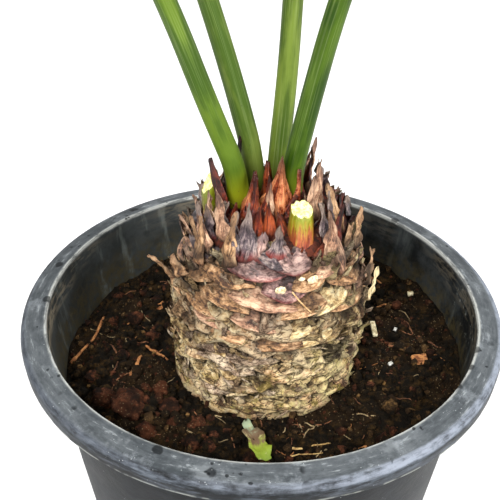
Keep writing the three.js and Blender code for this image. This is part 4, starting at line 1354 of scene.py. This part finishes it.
    def scars(self):
        """Pale torn scars, a small round knob and a loose straw under the crown."""
        pile = Pile(
            cut_face_finish("torn_scar", "ac8e62", "ecdcb4"),
            wood_finish("knob", "5e4f34", "9c8c66"),
            wood_finish("loose_straw", "9a7448", "dcb684"),
        )
        lump, tube = lump_template(3), tube_template(6, 13)
        for number, (azimuth, h, size, lift, kind) in enumerate(SCARS):
            out, level = compass(azimuth), compass(azimuth + 90)
            torn = np.array([1 + 0.3 * rough(p + 5 * number, 0.6, 4) for p in lump[0]])[:, None]
            wide, thick, tall = np.array(size) / 2000
            local = lump[0] * torn
            shaped = local[:, :1] * level * wide + local[:, 1:2] * out * thick + local[:, 2:] * (0, 0, tall)
            pile.add(shaped + on_trunk(azimuth, h / 1000, lift / 1000), lump, number, kind, (0, 2))
        path = smooth_path([above_soil(point) for point in STRAW])
        shaped = sweep(tube[0], path, level_sideways(path, (0, -1.0, 0.2)), np.full(PATH_STEPS, 0.00045))
        pile.add(shaped, tube, 9, 2, (0, 2))
        pile.build("trunk_scars")

    def flakes(self, finishes, settings):
        """Papery flakes and torn fibres that stick out between the leaf bases."""
        rng = np.random.default_rng(SEEDS["flakes"])
        blade = blade_template(3, 6)
        pile = Pile(*finishes)
        for number in range(settings.flakes):
            h = rng.uniform(0.004, 0.086)
            azimuth = rng.uniform(0, 360)
            out = compass(azimuth)
            level = compass(azimuth + 90) * rng.choice((-1, 1))
            slope = rng.uniform(-0.3, 0.5) + rng.choice((0, 1.6), p=(0.75, 0.25))
            heading = unit(level + (0, 0, slope) + out * rng.uniform(-0.15, 0.45))
            length = rng.uniform(0.004, 0.013)
            foot = on_trunk(azimuth, h, rng.uniform(-0.001, 0.002))
            tip = foot + heading * length
            over_swollen = h > 0.054 and abs(azimuth - 360 - FRONT) < 48 and number % 4
            if over_swollen or tip[2] < SOIL_LEVEL + 0.0008:
                continue
            shaped = scale_points(
                blade[0], foot, tip, unit(out + (0, 0, rng.uniform(-0.4, 0.5))), rng.uniform(0.0016, 0.0050),
                FLAKE, rng, cup=0.15, curl=rng.uniform(-0.001, 0.002), twist=rng.normal(0, 0.6), rag=0.25,
                ridge=0.0001, thickness=0.0006,
            )
            pile.add(shaped, blade, number, int(rng.integers(3)))
        self.flaps(rng, pile)
        pile.build("trunk_flakes")

    def flaps(self, rng, pile):
        """Torn flaps of old leaf bases that break the trunk's outline."""
        blade = blade_template(6, 8)
        for number in range(FLAPS):
            azimuth, h = rng.uniform(-180, 180), rng.uniform(0.03, 0.094)
            if abs(azimuth - FRONT) < 30 and rng.random() < 0.75:
                continue
            foot = on_trunk(azimuth, h, -0.001)
            drift = compass(azimuth + 90) * rng.normal(0, 0.004)
            tip = on_trunk(azimuth, h + rng.uniform(0.008, 0.017), rng.uniform(0.002, 0.0095)) + drift
            shaped = scale_points(
                blade[0], foot, tip, compass(azimuth), rng.uniform(0.004, 0.012), STUMP, rng,
                cup=rng.uniform(0.05, 0.3), curl=rng.uniform(-0.001, 0.003), hook=rng.normal(0, 0.002),
                twist=rng.normal(0, 0.5), rag=0.35, smile=0, thickness=0.0008,
            )
            pile.add(shaped, blade, number + 700, int(rng.integers(3)))


class CYCAD_OT_crown(bpy.types.Operator):
    """Build the crown of pointed scales that the leaf stalks grow out of"""

    bl_idname = "cycad.crown"
    bl_label = "Crown"

    def execute(self, context):
        self.dome()
        self.scales()
        mark_hollow_shade([bpy.data.objects[name] for name in BARK_PIECES])
        return {"FINISHED"}

    def dome(self):
        base = float(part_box("crown_scales")[0].z)
        bm = turned([(0, 0), *smooth_path(CROWN_DOME, 24)], 120)
        centre = Vector(trunk_centre(TRUNK_HEIGHT))
        for vertex in bm.verts:
            wool = 0.0012 * rough(vertex.co, 0.005, 4) if vertex.co.z > 0.001 else 0
            vertex.co.z += wool + base
            vertex.co.xy += centre.xy
        mesh = mesh_of(bm, "crown_wool")
        store_grain(mesh, [(v.co.x * 60, v.co.y * 60, 0.5) for v in mesh.vertices])
        finish = wood_finish("crown_wool", "1a0a06", "552413")
        add_piece("crown_wool", mesh, [finish], "crown_scales")

    def placed_scales(self, rng):
        """The scales that show from the front, and rings of random ones where there is room."""
        scales = [(above_soil(f), above_soil(t), w / 1000, kind, 0.1) for f, t, w, kind in FRONT_SCALES]
        placed = [foot for foot, *_ in scales]
        stalks = self.stalk_points()
        for ring, (height, reach, around, length, flare, kinds) in enumerate(CROWN_RINGS):
            for i in range(around):
                azimuth = (i + 0.5 * ring) * 360 / around + rng.normal(0, 4)
                out = compass(azimuth)
                foot = trunk_centre(height + rng.normal(0, 0.001)) + out * reach
                rise = length * rng.uniform(0.75, 1.15)
                if abs(out[0]) > 0.6 and reach > 0.02:
                    rise *= 0.6
                drift = compass(azimuth + 90) * rng.normal(0, 0.003)
                tip = foot + out * (flare + rng.uniform(-0.004, 0.005)) + drift + (0, 0, rise)
                near_front = min(np.linalg.norm(foot - other) for other in placed) < SCALE_CLEARANCE
                body = np.linspace(foot, foot + 0.8 * (tip - foot), 6)
                gap = min(np.linalg.norm(stalks - point, axis=1).min() for point in body)
                near_stalk = gap < STALK_CLEARANCE
                facing = (azimuth + 90 + 180) % 360 - 180
                by_stub = 0.010 < foot[0] < 0.034 and out[1] < -0.25
                by_stalk = -0.026 < foot[0] < -0.007 and out[1] < -0.25
                in_front = ring < 2 and -46 < facing < 48
                if near_front or near_stalk or in_front or by_stub or by_stalk:
                    continue
                if out[1] < -0.25:
                    tip = foot + (tip - foot) * 0.62
                if out[1] > 0.3 and abs(tip[0] - 0.002) < 0.014:
                    tip[2] = min(tip[2], SOIL_LEVEL + 0.136 - 0.74 * (tip[1] - 0.025))
                width = rng.uniform(0.012, 0.018) - 0.005 * ring / 4
                scales.append((foot, tip, width, rng.choice(kinds), 0.14))
        return scales

    def scales(self):
        rng = np.random.default_rng(SEEDS["crown"])
        blade = blade_template(9, 16)
        pile = Pile(*scale_finishes("papery", False))
        axis = trunk_centre(TRUNK_HEIGHT)
        for number, (foot, tip, width, kind, rag) in enumerate(self.placed_scales(rng)):
            out = unit((foot - axis) * (1, 1, 0))
            fresh = kind in FRESH_KINDS
            shaped = scale_points(
                blade[0], foot, tip, out, width, VASE if kind == "copper" else SPEAR, rng, bulge=0.0016,
                cup=0.16, curl=rng.uniform(-0.001, 0.001) if fresh else rng.uniform(-0.003, 0.0025),
                hook=rng.normal(0, 0.0015), twist=rng.normal(0, 0.25 if fresh else 0.7),
                rag=0.06 if fresh else 1.5 * rag, crumple=0.0002 if fresh else 0.0011, smile=0.1,
                fold=rng.uniform(0.3, 0.8) if fresh else rng.uniform(-0.5, 0.6), ridge=0.0003,
            )
            pile.add(shaped, blade, number + 200, SCALE_KINDS.index(kind))
        self.tufts(rng, pile)
        pile.build("crown_spears")

    def tufts(self, rng, pile):
        """Short fibres and scraps that fill the crown between its scales."""
        blade = blade_template(2, 5)
        for number in range(TUFTS):
            out = compass(rng.uniform(0, 360))
            reach = 0.043 * math.sqrt(rng.uniform(0.01, 1))
            foot = trunk_centre(TRUNK_HEIGHT + dome_height(reach)) + out * reach - (0, 0, 0.001)
            lean = rng.normal(0, 0.3, 2)
            tip = foot + unit(np.array((*lean, 1))) * rng.uniform(0.004, 0.0105)
            kind = rng.choice(TUFT_KINDS, p=TUFT_SHARES)
            width = rng.uniform(0.0012, 0.0036)
            bent = {"rag": 0.2, "ridge": 0.0001, "thickness": 0.0006}
            shaped = scale_points(blade[0], foot, tip, out, width, FLAKE, rng, **bent)
            pile.add(shaped, blade, number + 500, SCALE_KINDS.index(kind))

    def stalk_points(self):
        """Points inside the stalks near the crown, which its scales keep clear of."""
        lines = [leaf_line(name)[0][:12] for name in LEAVES]
        stubs = [np.linspace(*stub[:2], 5) + (0, 0, SOIL_LEVEL) for stub in CUT_STALKS.values()]
        return np.concatenate([*lines, *stubs])


class CYCAD_OT_cut_stalks(bpy.types.Operator):
    """Build the two cut leaf stalks with their ragged pale faces"""

    bl_idname = "cycad.cut_stalks"
    bl_label = "Cut Stalks"

    def execute(self, context):
        finishes = (stub_finish(), cut_face_finish("cut_stalk_pith", "bdb458", "f1edaa"))
        for name, (foot, top, radius, slope, green) in CUT_STALKS.items():
            self.stub(name, np.array(foot), np.array(top), radius, slope, green, finishes)
        return {"FINISHED"}

    def stub(self, name, foot, top, radius, slope, green, finishes):
        bm = upright_tube(28, 16)
        face = max(bm.faces, key=lambda f: f.calc_center_median().z)
        for inset in (0.09, 0.28, 0.3):
            bmesh.ops.inset_region(bm, faces=[face], thickness=inset)
        bmesh.ops.poke(bm, faces=[face])
        for part in bm.faces:
            part.material_index = 1 if part.calc_center_median().z > 0.999 else 0
        points, faces, slots = arrays(bm)
        x, y, height = points.T
        angle = np.arctan2(y, x)
        torn = np.array([rough((*p[:2] * 1.6, len(name)), 0.8, 3) for p in points])
        crater = np.where(height > 0.999, 0.002 * torn - 0.0006 * (1 - np.hypot(x, y)), 0)
        ribs = 1 + 0.05 * np.cos(4 * angle + 0.6) + 0.03 * np.sin(9 * angle) + 0.015 * np.sin(15 * angle + 1)
        ribbed = points * np.stack([ribs, ribs, np.ones_like(ribs)], 1)
        path = np.linspace(foot, top, 2) + (0, 0, SOIL_LEVEL)
        shaped = sweep(ribbed, path, np.array([(1.0, 0, 0)] * 2), (1.2 * radius, 0.84 * radius))
        tilt = radius * (points[:, :2] @ slope) * height ** 3
        shaped = shaped + (crater + tilt)[:, None] * unit(top - foot)
        pile = Pile(*finishes)
        pile.add(shaped, (points, faces), green, grain=(angle, height))
        pile.slots = slots
        pile.build(f"stub_{name}", f"cut_stalk_{name}")


class CYCAD_OT_stalks(bpy.types.Operator):
    """Build the four waxy leaf stalks"""

    bl_idname = "cycad.stalks"
    bl_label = "Leaf Stalks"

    def execute(self, context):
        tube = tube_template(28, 79)
        last = round(STALK_LENGTH / LEAF_STEP) + 1
        radii = np.interp(np.arange(last) * LEAF_STEP, STALK_STATIONS, STALK_RADII)
        turn = abs(np.arctan2(tube[0][:, 1], tube[0][:, 0]))
        for name, leaf in LEAVES.items():
            line, across = leaf_line(name)
            pile = Pile(stalk_finish(f"stalk_green_{name}", *leaf[-1]))
            pile.add(sweep(tube[0], line[:last], across[:last], radii), tube, len(name), grain=(turn, 2))
            pile.build(f"stalk_{name}", f"leaf_stalk_{name}")
        return {"FINISHED"}


class CYCAD_OT_fronds(bpy.types.Operator):
    """Build the feathered blades: a rib with two rows of narrow leaflets"""

    bl_idname = "cycad.fronds"
    bl_label = "Fronds"

    def execute(self, context):
        settings = context.scene.cycad.leaf
        greens = [leaflet_finish(f"leaflet_green_{i}", *pair) for i, pair in enumerate(LEAFLET_GREENS)]
        rib_green = stalk_finish("rib_green", "47731f", "7c9c42", "6d8a34")
        rng = np.random.default_rng(SEEDS["fronds"])
        for name in LEAVES:
            self.frond(name, *leaf_line(name), settings, rng, [*greens, rib_green])
        return {"FINISHED"}

    def frond(self, name, line, across, settings, rng, finishes):
        pile = Pile(*finishes)
        start = round(STALK_LENGTH / LEAF_STEP)
        tube, leaflet = tube_template(10, 60), tube_template(4, 12)
        radii = np.interp(np.arange(start, len(line)) * LEAF_STEP, STALK_STATIONS, STALK_RADII)
        shaped = sweep(tube[0], line[start:], across[start:], radii)
        pile.add(shaped, tube, 0, len(finishes) - 1, (0, 2))
        tangents = unit(np.gradient(line, axis=0))
        for pair in range(settings.pairs):
            part = pair / (settings.pairs - 1)
            s = STALK_LENGTH + SEAT_GAP + 0.012 + part * (BLADE_LENGTH - 0.016)
            i = min(round(s / LEAF_STEP), len(line) - 1)
            origin = line[i] + tangents[i] * (s - i * LEAF_STEP)
            upper = np.cross(tangents[i], across[i])
            for side in (-1, 1):
                angle = math.radians(np.interp(part, *LEAFLET_ANGLES) + rng.normal(0, 2))
                forward = tangents[i] * math.cos(angle) + across[i] * side * math.sin(angle)
                length = settings.leaflet_length * np.interp(part, *LEAFLET_SPREAD) * rng.uniform(0.96, 1.02)
                blade = self.leaflet(leaflet[0], forward, upper, length, settings.leaflet_width, rng)
                kind = int(rng.integers(len(finishes) - 1))
                pile.add(origin + blade, leaflet, 2 * pair + (side > 0) + 1, kind, (0, 2))
        pile.build(f"leaflets_{name}", f"frond_{name}")

    def leaflet(self, points, forward, upper, length, width, rng):
        x, y, v = points.T
        half = width / 2 * np.interp(v, *LEAFLET_OUTLINE)
        thick = 0.0011 * np.interp(v, (0, 0.7, 1), (1.3, 0.8, 0.3))
        phase = rng.uniform(0, 6.3)
        droop = -length * rng.uniform(0.03, 0.07) * v * v
        lift = 0.14 * half * abs(x) + 0.0007 * np.sin(19 * v + phase) * x + droop
        lift = lift + np.where(abs(y) > 0.5, y * thick * 0.5, 0)
        bow = rng.normal(0, 0.02) * length * v * v
        flat = forward * (v * length)[:, None] + np.cross(upper, forward) * (half * x + bow)[:, None]
        return flat + upper * lift[:, None]


class CYCAD_OT_stage(bpy.types.Operator):
    """Lay the pale floor, place the camera and light the plant softly"""

    bl_idname = "cycad.stage"
    bl_label = "Stage"

    def execute(self, context):
        self.floor()
        self.camera(context)
        self.lights(context)
        return {"FINISHED"}

    def floor(self):
        bm = bmesh.new()
        bmesh.ops.create_grid(bm, x_segments=2, y_segments=2, size=5)
        finish = Finish("pale_floor", 0.2)
        colour = finish.mix(finish.place.cloud(1.5, 2), "f4f4f4", "fafafa")
        floor = linked("floor", mesh_of(bm, "floor"))
        floor.data.materials.append(finish.close(colour, 0.9))

    def camera(self, context):
        drop = math.radians(CAMERA_DROP)
        forward = Vector((0, math.cos(drop), -math.sin(drop)))
        up = Vector((0, math.sin(drop), math.cos(drop)))
        yaw = Matrix.Rotation(math.radians(CAMERA_YAW), 3, "Z")
        right = yaw @ Vector((1, 0, 0))
        pitch = Matrix.Rotation(math.radians(CAMERA_PITCH), 3, right)
        forward = pitch @ yaw @ forward
        roll = Matrix.Rotation(math.radians(CAMERA_ROLL), 3, forward)
        up = roll @ pitch @ yaw @ up
        right = roll @ right
        camera = linked("camera", bpy.data.cameras.new("camera"))
        camera.data.lens = FOCAL_LENGTH
        camera.data.sensor_width = 36
        turn = Matrix((right, up, -forward)).transposed().to_4x4()
        camera.matrix_world = Matrix.Translation(CAMERA_PLACE) @ turn
        context.scene.camera = camera

    def lights(self, context):
        world = context.scene.world or bpy.data.worlds.new("world")
        context.scene.world = world
        world.use_nodes = True
        world.node_tree.nodes["Background"].inputs["Color"].default_value = (1, 1, 1, 1)
        world.node_tree.nodes["Background"].inputs["Strength"].default_value = 0.6
        context.scene.view_settings.view_transform = "Standard"
        for name, place, size, power in SOFTBOXES:
            light = bpy.data.lights.new(name, "AREA")
            light.size = size
            light.energy = power
            turn = (AIM - Vector(place)).to_track_quat("-Z", "Y")
            linked(name, light).matrix_world = Matrix.LocRotScale(place, turn, None)


OPERATORS = (
    CYCAD_OT_pot,
    CYCAD_OT_soil,
    CYCAD_OT_litter,
    CYCAD_OT_trunk,
    CYCAD_OT_crown,
    CYCAD_OT_cut_stalks,
    CYCAD_OT_stalks,
    CYCAD_OT_fronds,
    CYCAD_OT_stage,
)


class CYCAD_PT_panel(bpy.types.Panel):
    """Sizes, colours and build steps of the potted cycad"""

    bl_idname = "CYCAD_PT_panel"
    bl_label = "Potted Cycad"
    bl_space_type = "VIEW_3D"
    bl_region_type = "UI"
    bl_category = "Potted Cycad"

    def draw(self, context):
        settings = context.scene.cycad
        for group in (settings.pot, settings.soil, settings.trunk, settings.leaf):
            box = self.layout.box()
            for name in group.__annotations__:
                box.prop(group, name)
        for operator in OPERATORS:
            self.layout.operator(operator.bl_idname)


GROUPS = (CYCAD_PG_pot, CYCAD_PG_soil, CYCAD_PG_trunk, CYCAD_PG_leaf, CYCAD_PG_settings)
CLASSES = (*GROUPS, *OPERATORS, CYCAD_PT_panel)


def register():
    for item in CLASSES:
        bpy.utils.register_class(item)
    bpy.types.Scene.cycad = PointerProperty(type=CYCAD_PG_settings)


def unregister():
    del bpy.types.Scene.cycad
    for item in reversed(CLASSES):
        bpy.utils.unregister_class(item)


def main():
    register()
    for operator in OPERATORS:
        group, name = operator.bl_idname.split(".")
        getattr(getattr(bpy.ops, group), name)()


if __name__ == "__main__":
    main()
